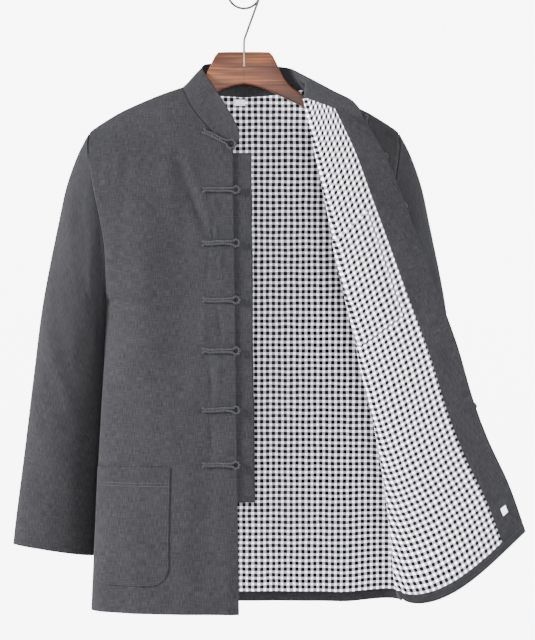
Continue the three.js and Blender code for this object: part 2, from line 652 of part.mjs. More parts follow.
// The fold: a quarter turn towards the front, a straight drop forwards and a quarter turn outwards.
function foldPoint(index, row) {
  const v = leftRow(row);
  const radius = lookUp(foldLine, 'along', v, 'radius');
  const drop = lookUp(foldLine, 'along', v, 'drop');
  const start = leftBodyPoint(1, row);
  const second = index > ARC_COLUMNS;
  const turned = second ? index - 1 : index;
  const angle = (Math.PI / 2) * (turned / ARC_COLUMNS);
  const forwards = radius * (1 - Math.cos(angle)) + (second ? drop : 0);
  return start.add(new THREE.Vector3(-radius * Math.sin(angle), -forwards, 0));
}

function facingShare(v) {
  const foldX = lookUp(foldLine, 'along', v, 'x');
  const foldZ = lookUp(foldLine, 'along', v, 'z');
  const reach = Math.hypot(
    lookUp(edgeLine, 'along', v, 'x') - foldX, lookUp(edgeLine, 'along', v, 'z') - foldZ);
  return 1 - lerp(FACING.topWidth, FACING.hemWidth, v) / reach;
}

function flapPoint(index, row) {
  const v = leftRow(row);
  const start = foldPoint(2 * ARC_COLUMNS + 1, row);
  const edge = new THREE.Vector3(
    lookUp(edgeLine, 'along', v, 'x'), lookUp(edgeLine, 'along', v, 'y'), lookUp(edgeLine, 'along', v, 'z'));
  const facing = facingShare(v);
  const share = index <= FLAP_COLUMNS
    ? facing * (index / FLAP_COLUMNS)
    : lerp(facing, 1, (index - FLAP_COLUMNS) / FACING_COLUMNS);
  const full = Math.sin(Math.PI * share);
  const sag = FLAP_SAG.depth * Math.sin(Math.PI * share ** FLAP_SAG.towardsFold) * v ** FLAP_SAG.fade;
  const point = start.lerp(edge, share);
  point.x += sag * FLAP_SAG.outwards;
  point.z += sag * FLAP_SAG.downwards;
  point.y -= FLAP_FULLNESS * full;
  return point;
}

function leftFrontGrid() {
  const neckDepth = lookUp(SHOULDER_SEAM, 'x', NECK_X, 'z');
  const grid = makeGrid(LEFT_LAST, LAST_ROW, (i, j) => {
    const v = leftRow(j);
    const onFlap = Math.max(0, i - FLAP_START) / (LEFT_LAST - FLAP_START);
    const down = lerp(lerp(neckDepth, FRONT_EDGE.topZ, onFlap), HEM_Z, v);
    if (i <= SIDE_COLUMNS) return { point: leftBodyPoint(i / SIDE_COLUMNS, j), down };
    if (i <= FLAP_START) return { point: foldPoint(i - SIDE_COLUMNS, j), down };
    return { point: flapPoint(i - FLAP_START, j), down };
  }, 1);
  measureFrom(grid, LEFT_LAST);
  return grid;
}

// ---------- Sleeves ----------
function sleeveGrid(side) {
  const rowsDown = spread(LAST_ROW, (t) => rowHeight(TIP.z, Math.round(t * LAST_ROW)));
  // The body's side seam as its own straight stretches between rows, which the sleeve head follows.
  const seamX = (z) => {
    const below = Math.max(1, rowsDown.findIndex((height) => height <= z));
    const t = (z - rowsDown[below - 1]) / (rowsDown[below] - rowsDown[below - 1]);
    return lerp(halfWidth(rowsDown[below - 1], side), halfWidth(rowsDown[below], side), t);
  };
  const grid = makeGrid(SLEEVE_SIDES, SLEEVE_RINGS.length - 1, (i, j) => {
    const angle = (2 * Math.PI * i) / SLEEVE_SIDES;
    if (j === 0) {
      const z = lerp(TIP.z, UNDERARM_Z, (1 - Math.cos(angle)) / 2);
      const x = side * (seamX(z) + SHELL.outside + SEAM_GAP);
      return { point: new THREE.Vector3(x, -ARMHOLE_HALF_DEPTH * Math.sin(angle), z) };
    }
    const read = (name) => lookUp(SLEEVE, 'down', SLEEVE_RINGS[j], name);
    const towardsOuter = (1 + Math.cos(angle)) / 2;
    return { point: new THREE.Vector3(
      side * lerp(read('innerX'), read('outerX'), towardsOuter),
      read('centreY') - read('halfDepth') * Math.sin(angle) + read('tuck') * (1 - towardsOuter),
      lerp(read('innerZ'), read('outerZ'), towardsOuter)) };
  }, side);
  grid.forEach((column, i) => {
    const angle = (2 * Math.PI * i) / SLEEVE_SIDES;
    column[0].normal.set(0, -Math.sin(angle), Math.cos(angle));
    // The first and last columns are the same line, so they share one normal.
    if (i > 0 && i < SLEEVE_SIDES) return;
    column.forEach((cell, j) => {
      if (j > 0) cell.normal.y = 0;
      cell.normal.normalize();
    });
  });
  return grid;
}

// ---------- Collar ----------
function collarGrid(rightFront, back, leftFront) {
  const seam = [
    ...rightFront.slice(0, NECK_COLUMNS + 1).map((column) => column[0]),
    ...back.slice(SHOULDER_COLUMNS + 1, -SHOULDER_COLUMNS).map((column) => column[0]),
    ...leftFront.slice(SIDE_COLUMNS).map((column) => column[0]),
  ];
  const lengths = [0];
  for (let i = 1; i < seam.length; i += 1) {
    lengths.push(lengths[i - 1] + seam[i].point.distanceTo(seam[i - 1].point));
  }
  const scale = COLLAR_TOP.at(-1).along / lengths.at(-1);
  return makeGrid(seam.length - 1, COLLAR_ROWS, (i, j) => {
    const along = lengths[i] * scale;
    const top = new THREE.Vector3(
      lookUp(COLLAR_TOP, 'along', along, 'x'),
      lookUp(COLLAR_TOP, 'along', along, 'y'),
      lookUp(COLLAR_TOP, 'along', along, 'z'));
    const up = top.clone().sub(seam[i].point).normalize();
    const lift = COLLAR_LIFT.level + COLLAR_LIFT.shoulder * Math.max(0, seam[i].normal.dot(up));
    const foot = seam[i].point.clone().addScaledVector(up, lift);
    return { point: foot.lerp(top, j / COLLAR_ROWS) };
  }, 1);
}

// ---------- Small pieces ----------
function placketGrid() {
  return makeGrid(PLACKET.columns, PLACKET.rows, (i, j) => {
    const t = j / PLACKET.rows;
    const z = lerp(PLACKET.topZ, PLACKET.hemZ, t);
    const x = lerp(lerp(PLACKET.topX, PLACKET.hemX, t), PLACKET.hiddenX, i / PLACKET.columns);
    return { point: new THREE.Vector3(x, -bodyDepth('front', x, z), z) };
  }, 1);
}

function frogLoop(panel, barStart, ring, extraLift) {
  const run = new THREE.Vector2(ring.x - barStart.x, ring.y - barStart.y);
  const length = run.length();
  const direction = run.normalize();
  const beside = new THREE.Vector2(-direction.y, direction.x);
  const half = CORD_RADIUS + CORD_GAP / 2;
  const lift = SHELL.outside + SEAM_GAP + CORD_RADIUS + extraLift;
  const place = (forwards, sideways) => {
    const x = barStart.x + direction.x * forwards + beside.x * sideways;
    const z = barStart.y + direction.y * forwards + beside.y * sideways;
    const edgeX = Math.min(x, panel[0][0].point.x);
    const cell = find(panel, panel[0][0].point.x - edgeX, z);
    return new THREE.Vector3(x, cell.point.y - lift, z);
  };
  const side = (sign) => [...FROG.stations, length - FROG.neck].map((at) => (
    place(at, sign * (half + (at === 0 ? FROG.flare : 0)))));
  const around = spread(FROG.ringSteps, (t) => {
    const angle = THREE.MathUtils.degToRad(lerp(FROG.ringOpening, -FROG.ringOpening, t));
    return place(length + FROG.ringRadius * Math.cos(angle), FROG.ringRadius * Math.sin(angle));
  });
  return tube([...side(1), ...around, ...side(-1).reverse()], CORD_RADIUS, FROG.steps);
}

function frogKnot(panel, { down, out, lift, slip }) {
  const half = CORD_RADIUS + CORD_GAP / 2;
  const edge = find(panel, 0, down);
  const inwards = find(panel, EDGE_PROBE, down).point.sub(edge.point).normalize();
  const downwards = find(panel, 0, down - EDGE_PROBE).point.sub(edge.point).normalize();
  const height = SHELL.outside + SEAM_GAP + CORD_RADIUS;
  const beyond = (distance, raised) => (
    edge.point.clone().addScaledVector(inwards, -distance).addScaledVector(edge.normal, raised));
  const slipped = (distance, raised) => beyond(distance, raised).addScaledVector(downwards, slip);
  const ball = new THREE.IcosahedronGeometry(KNOT.ballRadius, 1);
  const centre = slipped(out, lift);
  ball.translate(centre.x, centre.y, centre.z);
  const cords = [1, -1].map((sign) => {
    const lie = (across, sideways) => {
      const cell = find(panel, across, down + sign * sideways);
      return cell.point.clone().addScaledVector(cell.normal, height);
    };
    const along = lie(1, half).sub(lie(1, 0));
    const overEdge = out > KNOT.turnOut ? [beyond(KNOT.turnOut, height).add(along)] : [];
    const route = [
      slipped(out - KNOT.rootBack, lift).addScaledVector(along, KNOT.rootSpread),
      ...overEdge,
      ...KNOT.landing.map((across) => lie(across, half)),
      lie(KNOT.barLength / 2, half),
      lie(KNOT.barLength - KNOT.barEnd, half),
      lie(KNOT.barLength, half + FROG.flare),
    ];
    return tube(route, CORD_RADIUS, KNOT.steps);
  });
  return join([ball, ...cords]);
}

function hangerArm(side) {
  const tip = spread(HANGER_TIP.rings, (t) => {
    const x = lerp(HANGER_TIP.fromX, HANGER_TIP.toX, t);
    const last = t === 1;
    const top = lookUp(SHOULDER_SEAM, 'x', x, 'z') - HANGER_TIP.belowSeam - (last ? HANGER_TIP.endDrop : 0);
    const bottom = top - (last ? HANGER_TIP.endHeight : HANGER_TIP.height);
    return { x, top, bottom, halfThickness: last ? HANGER_TIP.endHalfThickness : HANGER_TIP.halfThickness };
  });
  const rings = [...HANGER, ...tip].map((row) => {
    const middle = (row.top + row.bottom) / 2;
    const half = (row.top - row.bottom) / 2;
    return spread(HANGER_SIDES, (t) => t).slice(0, HANGER_SIDES).map((t) => {
      const angle = 2 * Math.PI * t;
      const across = Math.sign(Math.cos(angle)) * Math.abs(Math.cos(angle)) ** HANGER_ROUNDNESS;
      const upwards = Math.sign(Math.sin(angle)) * Math.abs(Math.sin(angle)) ** HANGER_ROUNDNESS;
      return new THREE.Vector3(side * row.x, row.halfThickness * across, middle + half * upwards);
    });
  });
  return loft(rings);
}

function hookWire() {
  const centreZ = HOOK.wireRadius - HOOK.radius;
  const arc = spread(HOOK.arcSteps, (t) => {
    const angle = THREE.MathUtils.degToRad(lerp(-HOOK.slant, HOOK.sweep - HOOK.slant, t));
    return new THREE.Vector3(HOOK.radius * Math.cos(angle), 0, centreZ + HOOK.radius * Math.sin(angle));
  });
  const stem = [{ x: 0, z: HOOK.footZ }, ...HOOK_BEND].map(({ x, z }) => new THREE.Vector3(x, 0, z));
  return tube([...stem, ...arc], HOOK.wireRadius, HOOK.steps, HOOK.sides);
}

// ---------- Assembly ----------
const rightFront = rightFrontGrid();
const back = backGrid();
const leftFront = leftFrontGrid();

addPiece('right_front', wall(rightFront, LINED_SHELL), cloth);
addPiece('back', wall(back, shellWithHem), cloth);
addPiece('back_lining', wall(back, LINING, { bottom: BODY_ROWS }), gingham);
addPiece('left_front', wall(leftFront, shellWithHem), cloth);
addPiece('left_lining', wall(leftFront, LINING, {
  left: SIDE_COLUMNS, right: FACING_START, bottom: BODY_ROWS,
}), gingham);
addPiece('left_facing', wall(leftFront, LINING, { left: FACING_START, bottom: BODY_ROWS }), cloth);
for (const [name, side] of [['right_sleeve', -1], ['left_sleeve', 1]]) {
  const ring = sleeveGrid(side);
  const layer = { inside: -SLEEVE_WALL, outside: 0 };
  addPiece(name, wall(ring, layer, { right: SLEEVE_SIDES - 1, ring: true }), cloth);
}
const collarLayer = { inside: -COLLAR_HALF_THICKNESS, outside: COLLAR_HALF_THICKNESS };
addPiece('collar', wall(collarGrid(rightFront, back, leftFront), collarLayer), cloth);

const placketLayer = {
  inside: LINING.inside - PLACKET.clearance - LAID_ON,
  outside: LINING.inside - PLACKET.clearance,
};
addPiece('under_placket', wall(placketGrid(), placketLayer), cloth);
addPiece('right_pocket', laidOn(rightFront, laidOutside(LAID_ON), POCKET), cloth);
addPiece('left_pocket', laidOn(leftFront, laidOutside(LAID_ON), POCKET, FLAP_START), cloth);
addPiece('inner_pocket', laidOn(leftFront, laidInside(LAID_ON), INNER_POCKET, FOLD_CREST), gingham);
addPiece('size_label', laidOn(back, laidInside(LABEL_THICKNESS), SIZE_LABEL), label);
addPiece('facing_tag', laidOn(leftFront, laidInside(LABEL_THICKNESS), FACING_TAG, FLAP_START), label);

const topStart = new THREE.Vector2(TOP_FROG.fromX, TOP_FROG.fromZ);
const topRing = new THREE.Vector2(TOP_FROG.ringX, TOP_FROG.ringZ);
addPiece('frog_loop_1', frogLoop(rightFront, topStart, topRing, TOP_FROG.lift), cord);
FROG_HEIGHTS.forEach((z, index) => {
  const start = new THREE.Vector2(FROG.barStartX, z);
  const ring = new THREE.Vector2(FROG.ringX, z);
  addPiece(`frog_loop_${index + 2}`, frogLoop(rightFront, start, ring, FROG.lift), cord);
});
KNOTS.forEach((knot, index) => {
  addPiece(`frog_knot_${index + 1}`, frogKnot(leftFront, knot), cord);
});

addPiece('hanger_right_arm', hangerArm(-1), wood);
addPiece('hanger_left_arm', hangerArm(1), wood);
addPiece('hanger_hook', hookWire(), wire);

export default jacket;
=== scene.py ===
"""A Tang jacket of charcoal cloth with a gingham lining, hanging open on a wooden hanger.

Every cloth piece is a thin wall on a surface that is worked out from short tables in millimetres. The
jacket's front faces -Y, its right side is at -X and the origin is the top of the hanger's hook.
"""

import logging
import math
from dataclasses import dataclass, field
from enum import Enum
from typing import Sequence

import bpy
import numpy as np
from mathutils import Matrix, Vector


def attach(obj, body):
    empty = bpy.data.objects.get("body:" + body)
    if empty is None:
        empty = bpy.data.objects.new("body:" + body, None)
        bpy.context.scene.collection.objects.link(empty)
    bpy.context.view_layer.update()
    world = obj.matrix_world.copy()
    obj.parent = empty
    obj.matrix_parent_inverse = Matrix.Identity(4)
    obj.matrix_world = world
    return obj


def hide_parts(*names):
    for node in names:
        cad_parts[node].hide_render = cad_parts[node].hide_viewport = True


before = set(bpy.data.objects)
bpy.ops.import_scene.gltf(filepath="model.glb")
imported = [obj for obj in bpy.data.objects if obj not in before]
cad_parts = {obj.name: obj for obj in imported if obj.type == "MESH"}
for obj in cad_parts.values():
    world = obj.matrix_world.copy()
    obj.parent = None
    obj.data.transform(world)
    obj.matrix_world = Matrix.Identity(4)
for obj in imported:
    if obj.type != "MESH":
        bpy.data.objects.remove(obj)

log = logging.getLogger("jacket")
logging.basicConfig(level=logging.INFO, format="%(message)s")

MM = 0.001
NEAR = 1e-5  # metres, within which two corners count as being at one place
BODY = "root"
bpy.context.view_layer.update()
Array = np.ndarray


# ---------------------------------------------------------------- finishes


class Slot(Enum):
    """The record's material slots."""

    SHELL = "shell_cloth"
    LINING = "lining_cloth"
    CORD = "frog_cord"
    TAPE = "label_tape"
    WOOD = "hanger_wood"
    WIRE = "hook_wire"


def linear(hex_colour: str) -> tuple[float, float, float, float]:
    """Turns an sRGB hex colour into linear light.

    Args:
        hex_colour: Six hex digits after a hash sign.

    Returns:
        Red, green, blue and an alpha of one.
    """
    parts = [int(hex_colour[i : i + 2], 16) / 255 for i in (1, 3, 5)]
    light = [c / 12.92 if c <= 0.04045 else ((c + 0.055) / 1.055) ** 2.4 for c in parts]
    return (*light, 1.0)


class Nodes:
    """One material's node tree, with a small function that adds to it."""

    def __init__(self, name: str) -> None:
        """Starts an empty material called name."""
        self.material = bpy.data.materials.new(name)
        self.material.use_nodes = True
        self.tree = self.material.node_tree
        self.tree.nodes.clear()

    def add(self, kind: str, settings: dict | None = None, **sockets: object) -> bpy.types.Node:
        """Adds a node.

        Args:
            kind: The node's type, without the ShaderNode prefix.
            settings: Attributes to set on the node, such as its operation. Stops are a colour ramp's
                positions and sRGB hex colours.
            sockets: Values or output sockets for its inputs. A name is the input's, with _ for a
                space, or in0, in1 and so on for an input by its place.

        Returns:
            The new node.
        """
        node = self.tree.nodes.new("ShaderNode" + kind)
        for key, value in (settings or {}).items():
            if key == "stops":
                self.set_stops(node.color_ramp.elements, value)
            else:
                setattr(node, key, value)
        for key, value in sockets.items():
            at = int(key[2:]) if key[:2] == "in" and key[2:].isdigit() else key.replace("_", " ")
            if isinstance(value, bpy.types.NodeSocket):
                self.tree.links.new(value, node.inputs[at])
            else:
                node.inputs[at].default_value = value
        return node

    @staticmethod
    def set_stops(elements: Sequence, stops: Sequence[tuple[float, str]]) -> None:
        """Sets a colour ramp's stops.

        Args:
            elements: The ramp's elements.
            stops: Positions and sRGB hex colours.
        """
        while len(elements) < len(stops):
            elements.new(0.5)
        for element, (position, colour) in zip(elements, stops):
            element.position = position
            element.color = linear(colour)

    def finish(self, **sockets: object) -> bpy.types.Material:
        """Ends the tree.

        Args:
            sockets: Values or output sockets for the shader's inputs.

        Returns:
            The material.
        """
        shader = self.add("BsdfPrincipled", None, **sockets)
        self.add("OutputMaterial", None, in0=shader.outputs[0])
        return self.material


@dataclass(frozen=True)
class WovenCharcoal:
    """Plain woven cotton, dyed charcoal: matt, with streaks where its warp threads thicken."""

    name: str
    dark: str = "#0e0e10"
    mid: str = "#171719"
    light: str = "#262628"
    thread_mm: float = 0.9  # coarser than the real 0.4 mm, so that the weave shows at all
    streak_mm: float = 11.0
    mottle_mm: float = 55.0
    warp_share: float = 0.46
    weft_share: float = 0.28
    mottle_share: float = 0.1
    base_shade: float = 0.19
    weft_streaks: float = 0.7  # the weft's streaks to a metre, against the warp's

    def build(self) -> bpy.types.Material:
        """Makes the material."""
        n = Nodes(self.name)
        flat = {"noise_dimensions": "2D"}
        add_to = {"operation": "MULTIPLY_ADD"}
        threads, streaks = 1000 / self.thread_mm, 1000 / self.streak_mm
        uv = n.add("UVMap", {"uv_map": "cloth"}).outputs[0]
        warp = n.add("Mapping", None, Vector=uv, Scale=(threads, streaks, 1))
        weft = n.add("Mapping", None, Vector=uv, Scale=(streaks * self.weft_streaks, threads, 1))
        warp = n.add("TexNoise", flat, Vector=warp.outputs[0], Scale=1.0, Detail=2.0)
        weft = n.add("TexNoise", flat, Vector=weft.outputs[0], Scale=1.0, Detail=2.0)
        mottle = n.add("TexNoise", flat, Vector=uv, Scale=1000 / self.mottle_mm, Detail=3.0)
        weave = n.add("Math", add_to, in0=warp.outputs[0], in1=self.warp_share, in2=self.base_shade)
        weave = n.add("Math", add_to, in0=weft.outputs[0], in1=self.weft_share, in2=weave.outputs[0])
        shade = n.add("Math", add_to, in0=mottle.outputs[0], in1=self.mottle_share, in2=weave.outputs[0])
        stops = [(0.34, self.dark), (0.54, self.mid), (0.76, self.light)]
        colour = n.add("ValToRGB", {"stops": stops}, in0=shade.outputs[0])
        bump = n.add("Bump", None, Strength=0.35, Distance=0.25 * MM, Height=weave.outputs[0])
        return n.finish(
            Base_Color=colour.outputs[0],
            Roughness=0.88,
            Normal=bump.outputs[0],
            Sheen_Weight=0.025,
            Sheen_Roughness=0.5,
            Specular_IOR_Level=0.08,
        )


@dataclass(frozen=True)
class Gingham:
    """Yarn-dyed gingham: black and white stripes both ways, grey where a black yarn crosses a white."""

    name: str
    white: str = "#fbfafd"
    mixed: str = "#7f7d85"
    black: str = "#020202"
    period_mm: float = 8.5
    dark_share: float = 0.56
    blur: float = 0.06  # the yarns at a stripe's edge, as a share of the period
    wobbles: float = 45.0  # how many to a metre, where the yarns stray,
    stray: float = 0.0016  # and by how many metres
    yarn_mm: float = 1.2

    def build(self) -> bpy.types.Material:
        """Makes the material."""
        n = Nodes(self.name)
        flat = {"noise_dimensions": "2D"}
        uv = n.add("UVMap", {"uv_map": "cloth"}).outputs[0]
        wobble = n.add("TexNoise", flat, Vector=uv, Scale=self.wobbles, Detail=1.0)
        stray = (self.stray,) * 3
        place = n.add("VectorMath", {"operation": "MULTIPLY_ADD"}, in0=wobble.outputs[1], in1=stray, in2=uv)
        split = n.add("SeparateXYZ", None, in0=place.outputs[0])
        edge = self.dark_share / 2
        stripes = []
        for axis in (0, 1):
            times = {"operation": "MULTIPLY"}
            turns = n.add("Math", times, in0=split.outputs[axis], in1=1000 / self.period_mm)
            there = n.add("Math", {"operation": "PINGPONG"}, in0=turns.outputs[0], in1=0.5)
            stripe = n.add(
                "MapRange",
                {"interpolation_type": "SMOOTHSTEP"},
                Value=there.outputs[0],
                From_Min=edge + self.blur / 2,
                From_Max=edge - self.blur / 2,
            )
            stripes.append(stripe.outputs[0])
        total = n.add("Math", {"operation": "ADD"}, in0=stripes[0], in1=stripes[1])
        half = n.add("Math", {"operation": "MULTIPLY"}, in0=total.outputs[0], in1=0.5)
        stops = [(0.0, self.white), (0.5, self.mixed), (1.0, self.black)]
        colour = n.add("ValToRGB", {"stops": stops}, in0=half.outputs[0])
        weave = n.add("TexNoise", flat, Vector=uv, Scale=1000 / self.yarn_mm, Detail=1.0)
        bump = n.add("Bump", None, Strength=0.25, Distance=0.2 * MM, Height=weave.outputs[0])
        return n.finish(
            Base_Color=colour.outputs[0], Roughness=0.9, Normal=bump.outputs[0], Specular_IOR_Level=0.05
        )


@dataclass(frozen=True)
class CoveredCord:
    """A bias strip of the jacket's cloth sewn round a cord: matt, with a slanting wrap."""

    name: str
    groove_shade: str = "#111112"
    ridge_light: str = "#29292b"
    wrap_mm: float = 2.4

    def build(self) -> bpy.types.Material:
        """Makes the material."""
        n = Nodes(self.name)
        uv = n.add("UVMap", {"uv_map": "cloth"}).outputs[0]
        turned = n.add("Mapping", None, Vector=uv, Rotation=(0, 0, 0.6), Scale=(1000 / self.wrap_mm,) * 3)
        bands = {"wave_type": "BANDS"}
        wave = n.add("TexWave", bands, Vector=turned.outputs[0], Scale=0.35, Distortion=1.5, Detail=1.0)
        # The wrap's colour is painted shade in its grooves and a painted highlight on its ridges, from the
        # same bands as its bump.
        colour = n.add("ValToRGB", {"stops": [(0.1, self.groove_shade), (0.8, self.ridge_light)]}, in0=wave.outputs[1])
        bump = n.add("Bump", None, Strength=0.5, Distance=0.3 * MM, Height=wave.outputs[1])
        return n.finish(
            Base_Color=colour.outputs[0],
            Roughness=0.8,
            Normal=bump.outputs[0],
            Sheen_Weight=0.05,
            Specular_IOR_Level=0.15,
        )


@dataclass(frozen=True)
class PlainTape:
    """Bare white woven tape, as labels are cut from."""

    name: str
    base: str = "#e2e2e4"
    thread: str = "#cbcbcf"

    def build(self) -> bpy.types.Material:
        """Makes the material."""
        n = Nodes(self.name)
        uv = n.add("UVMap", {"uv_map": "cloth"}).outputs[0]
        ribs = n.add("TexNoise", {"noise_dimensions": "2D"}, Vector=uv, Scale=900.0)
        colour = n.add("ValToRGB", {"stops": [(0.35, self.thread), (0.6, self.base)]}, in0=ribs.outputs[0])
        return n.finish(Base_Color=colour.outputs[0], Roughness=0.75, Specular_IOR_Level=0.15)


@dataclass(frozen=True)
class VarnishedBeech:
    """Beech stained red-brown and varnished: long grain along X under a satin coat."""

    name: str
    dark: str = "#210f07"
    mid: str = "#3b1d0f"
    light: str = "#5c351c"
    grain_mm: float = 2.2
    run_mm: float = 90.0
    tilt: float = 0.12  # the grain isn't quite level

    def build(self) -> bpy.types.Material:
        """Makes the material."""
        n = Nodes(self.name)
        add_to = {"operation": "MULTIPLY_ADD"}
        grain, run = 1000 / self.grain_mm, 1000 / self.run_mm
        place = n.add("TexCoord").outputs["Object"]
        along = n.add("Mapping", None, Vector=place, Rotation=(0, self.tilt, 0), Scale=(run, grain, grain))
        fibres = n.add("TexNoise", None, Vector=along.outputs[0], Scale=1.0, Detail=4.0, Distortion=0.4)
        broad = n.add("Mapping", None, Vector=place, Scale=(9.0, 30.0, 60.0))
        bands = n.add("TexNoise", None, Vector=broad.outputs[0], Scale=1.0, Detail=2.0)
        mixed = n.add("Math", add_to, in0=fibres.outputs[0], in1=0.5, in2=0.0)
        mixed = n.add("Math", add_to, in0=bands.outputs[0], in1=0.5, in2=mixed.outputs[0])
        stops = [(0.36, self.dark), (0.5, self.mid), (0.66, self.light)]
        colour = n.add("ValToRGB", {"stops": stops}, in0=mixed.outputs[0])
        bump = n.add("Bump", None, Strength=0.15, Distance=0.2 * MM, Height=fibres.outputs[0])
        return n.finish(
            Base_Color=colour.outputs[0], Roughness=0.5, Normal=bump.outputs[0], Specular_IOR_Level=0.18
        )


@dataclass(frozen=True)
class DullWire:
    """Plated spring wire, gone dull, with faint draw lines."""

    name: str
    base: str = "#3c3c3f"
    worn: str = "#2c2c2f"

    def build(self) -> bpy.types.Material:
        """Makes the material."""
        n = Nodes(self.name)
        place = n.add("TexCoord").outputs["Object"]
        lines = n.add("Mapping", None, Vector=place, Scale=(1500.0, 1500.0, 60.0))
        drawn = n.add("TexNoise", None, Vector=lines.outputs[0], Scale=1.0)
        colour = n.add("ValToRGB", {"stops": [(0.4, self.worn), (0.6, self.base)]}, in0=drawn.outputs[0])
        rough = n.add("MapRange", None, Value=drawn.outputs[0], To_Min=0.22, To_Max=0.36)
        return n.finish(Base_Color=colour.outputs[0], Metallic=1.0, Roughness=rough.outputs[0])


@dataclass(frozen=True)
class SewingThread:
    """Mercerised cotton thread, smoother than the cloth that it holds; its lighter colour is a painted
    highlight.
    """

    name: str
    dark: str = "#18181a"
    bright: str = "#262628"

    def build(self) -> bpy.types.Material:
        """Makes the material."""
        n = Nodes(self.name)
        place = n.add("TexCoord").outputs["Object"]
        twist = n.add("TexNoise", None, Vector=place, Scale=900.0)
        # Both stops sit above the cloth's tone: a painted highlight for the thread's gloss.
        colour = n.add("ValToRGB", {"stops": [(0.3, self.dark), (0.7, self.bright)]}, in0=twist.outputs[0])
        return n.finish(Base_Color=colour.outputs[0], Roughness=0.7)


@dataclass(frozen=True)
class Wardrobe:
    """Every material of the jacket and its hanger, made once."""

    shell: bpy.types.Material
    collar: bpy.types.Material
    sleeve: bpy.types.Material
    gingham: bpy.types.Material
    cord: bpy.types.Material
    tape: bpy.types.Material
    wood: bpy.types.Material
    wire: bpy.types.Material
    thread: bpy.types.Material

    @classmethod
    def make(cls) -> "Wardrobe":
        """Makes the materials."""
        return cls(
            shell=WovenCharcoal("charcoal_cotton").build(),
            # The collar is the same cloth painted a shade lighter: painted light, for the brighter light
            # that the standing collar catches.
            collar=WovenCharcoal("charcoal_collar_cotton_painted_lighter", mid="#19191b", light="#272729").build(),
            sleeve=WovenCharcoal("charcoal_sleeve_cotton").build(),
            gingham=Gingham("yarn_dyed_gingham").build(),
            cord=CoveredCord("cloth_covered_cord").build(),
            tape=PlainTape("bare_label_tape").build(),
            wood=VarnishedBeech("varnished_beech").build(),
            wire=DullWire("plated_spring_wire").build(),
            thread=SewingThread("dark_sewing_thread").build(),
        )


# ---------------------------------------------------------------- tables and surfaces


class Table:
    """A short table of named columns, read along a smooth curve through its rows."""

    def __init__(self, names: str, rows: Sequence[Sequence[float]]) -> None:
        """Keeps the rows in rising order of the first column."""
        data = np.array(rows, float)
        if data[0, 0] > data[-1, 0]:
            data = data[::-1]
        self.key = data[:, 0]
        self.columns = dict(zip(names.split(), data.T))

    def read(self, name: str, at: Array | float) -> Array:
        """Reads a column.

        Args:
            name: The column.
            at: Values of the first column.

        Returns:
            The column's values there, held level past the ends.
        """
        value = self.columns[name]
        slope = np.empty_like(value)
        slope[1:-1] = (value[2:] - value[:-2]) / (self.key[2:] - self.key[:-2])
        slope[0] = (value[1] - value[0]) / (self.key[1] - self.key[0])
        slope[-1] = (value[-1] - value[-2]) / (self.key[-1] - self.key[-2])
        target = np.clip(at, self.key[0], self.key[-1])
        i = np.clip(np.searchsorted(self.key, target) - 1, 0, len(self.key) - 2)
        step = self.key[i + 1] - self.key[i]
        t = (target - self.key[i]) / step
        level = value[i] + (value[i + 1] - value[i]) * t * t * (3 - 2 * t)
        return level + slope[i] * step * t * (1 - t) ** 2 - slope[i + 1] * step * t * t * (1 - t)


def unit(ways: Array) -> Array:
    """Gives vectors the length one."""
    return ways / np.maximum(np.linalg.norm(ways, axis=-1, keepdims=True), 1e-9)


def smooth(t: Array | float) -> Array:
    """A smooth step from 0 to 1."""
    t = np.clip(t, 0, 1)
    return t * t * (3 - 2 * t)


def run_along(points: Array, from_last: bool = False) -> Array:
    """Gives the distance along a line, or along each row of a grid.

    Args:
        points: The line's points, or the grid's by column and row.
        from_last: Whether the distance starts at the last point.

    Returns:
        The distance at each point.
    """
    if from_last:
        return run_along(points[::-1])[::-1]
    steps = np.linalg.norm(np.diff(points, axis=0), axis=-1)
    return np.concatenate([np.zeros_like(steps[:1]), np.cumsum(steps, axis=0)])


def bilinear(values: Array, a: Array, b: Array) -> Array:
    """Reads a grid between its points.

    Args:
        values: Vectors by column and row.
        a: Columns, with their fractions.
        b: Rows, with their fractions.

    Returns:
        The vectors there.
    """
    i = np.clip(np.floor(a).astype(int), 0, values.shape[0] - 2)
    j = np.clip(np.floor(b).astype(int), 0, values.shape[1] - 2)
    u, w = (a - i)[..., None], (b - j)[..., None]
    top = values[i, j] * (1 - u) + values[i + 1, j] * u
    return top * (1 - w) + (values[i, j + 1] * (1 - u) + values[i + 1, j + 1] * u) * w


def with_length(rows: Sequence[Sequence[float]]) -> list[list[float]]:
    """Puts before each row its share of the line's length, the line being the rows' x and z.

    Args:
        rows: Rows that start with x and z.

    Returns:
        The rows, each with its share of the length in front.
    """
    lengths = run_along(np.array([row[:2] for row in rows], float))
    return [[length / lengths[-1], *row] for length, row in zip(lengths, rows)]


@dataclass(frozen=True)
class Crease:
    """A soft trough (negative depth) or ridge in a panel, between two points, in millimetres."""

    from_x: float
    from_z: float
    to_x: float
    to_z: float
    width: float
    depth: float
    open_end: bool = False

    def height(self, x: Array, z: Array) -> Array:
        """Gives how far the crease moves the cloth.

        Args:
            x: The points' places across the panel.
            z: Their heights.

        Returns:
            The distance at each point.
        """
        run_x = self.to_x - self.from_x
        run_z = self.to_z - self.from_z
        share = ((x - self.from_x) * run_x + (z - self.from_z) * run_z) / (run_x**2 + run_z**2)
        t = np.clip(share, 0, 1)
        away = np.hypot(x - self.from_x - run_x * t, z - self.from_z - run_z * t) / self.width
        taper = np.sin(np.pi / 2 * t) if self.open_end else np.sin(np.pi * t)
        return self.depth * taper * np.exp(-away * away)


LATTICE = 97  # random heights along each side of the pattern, which repeats after them
LATTICE_START = 300  # keeps the pattern's places above zero


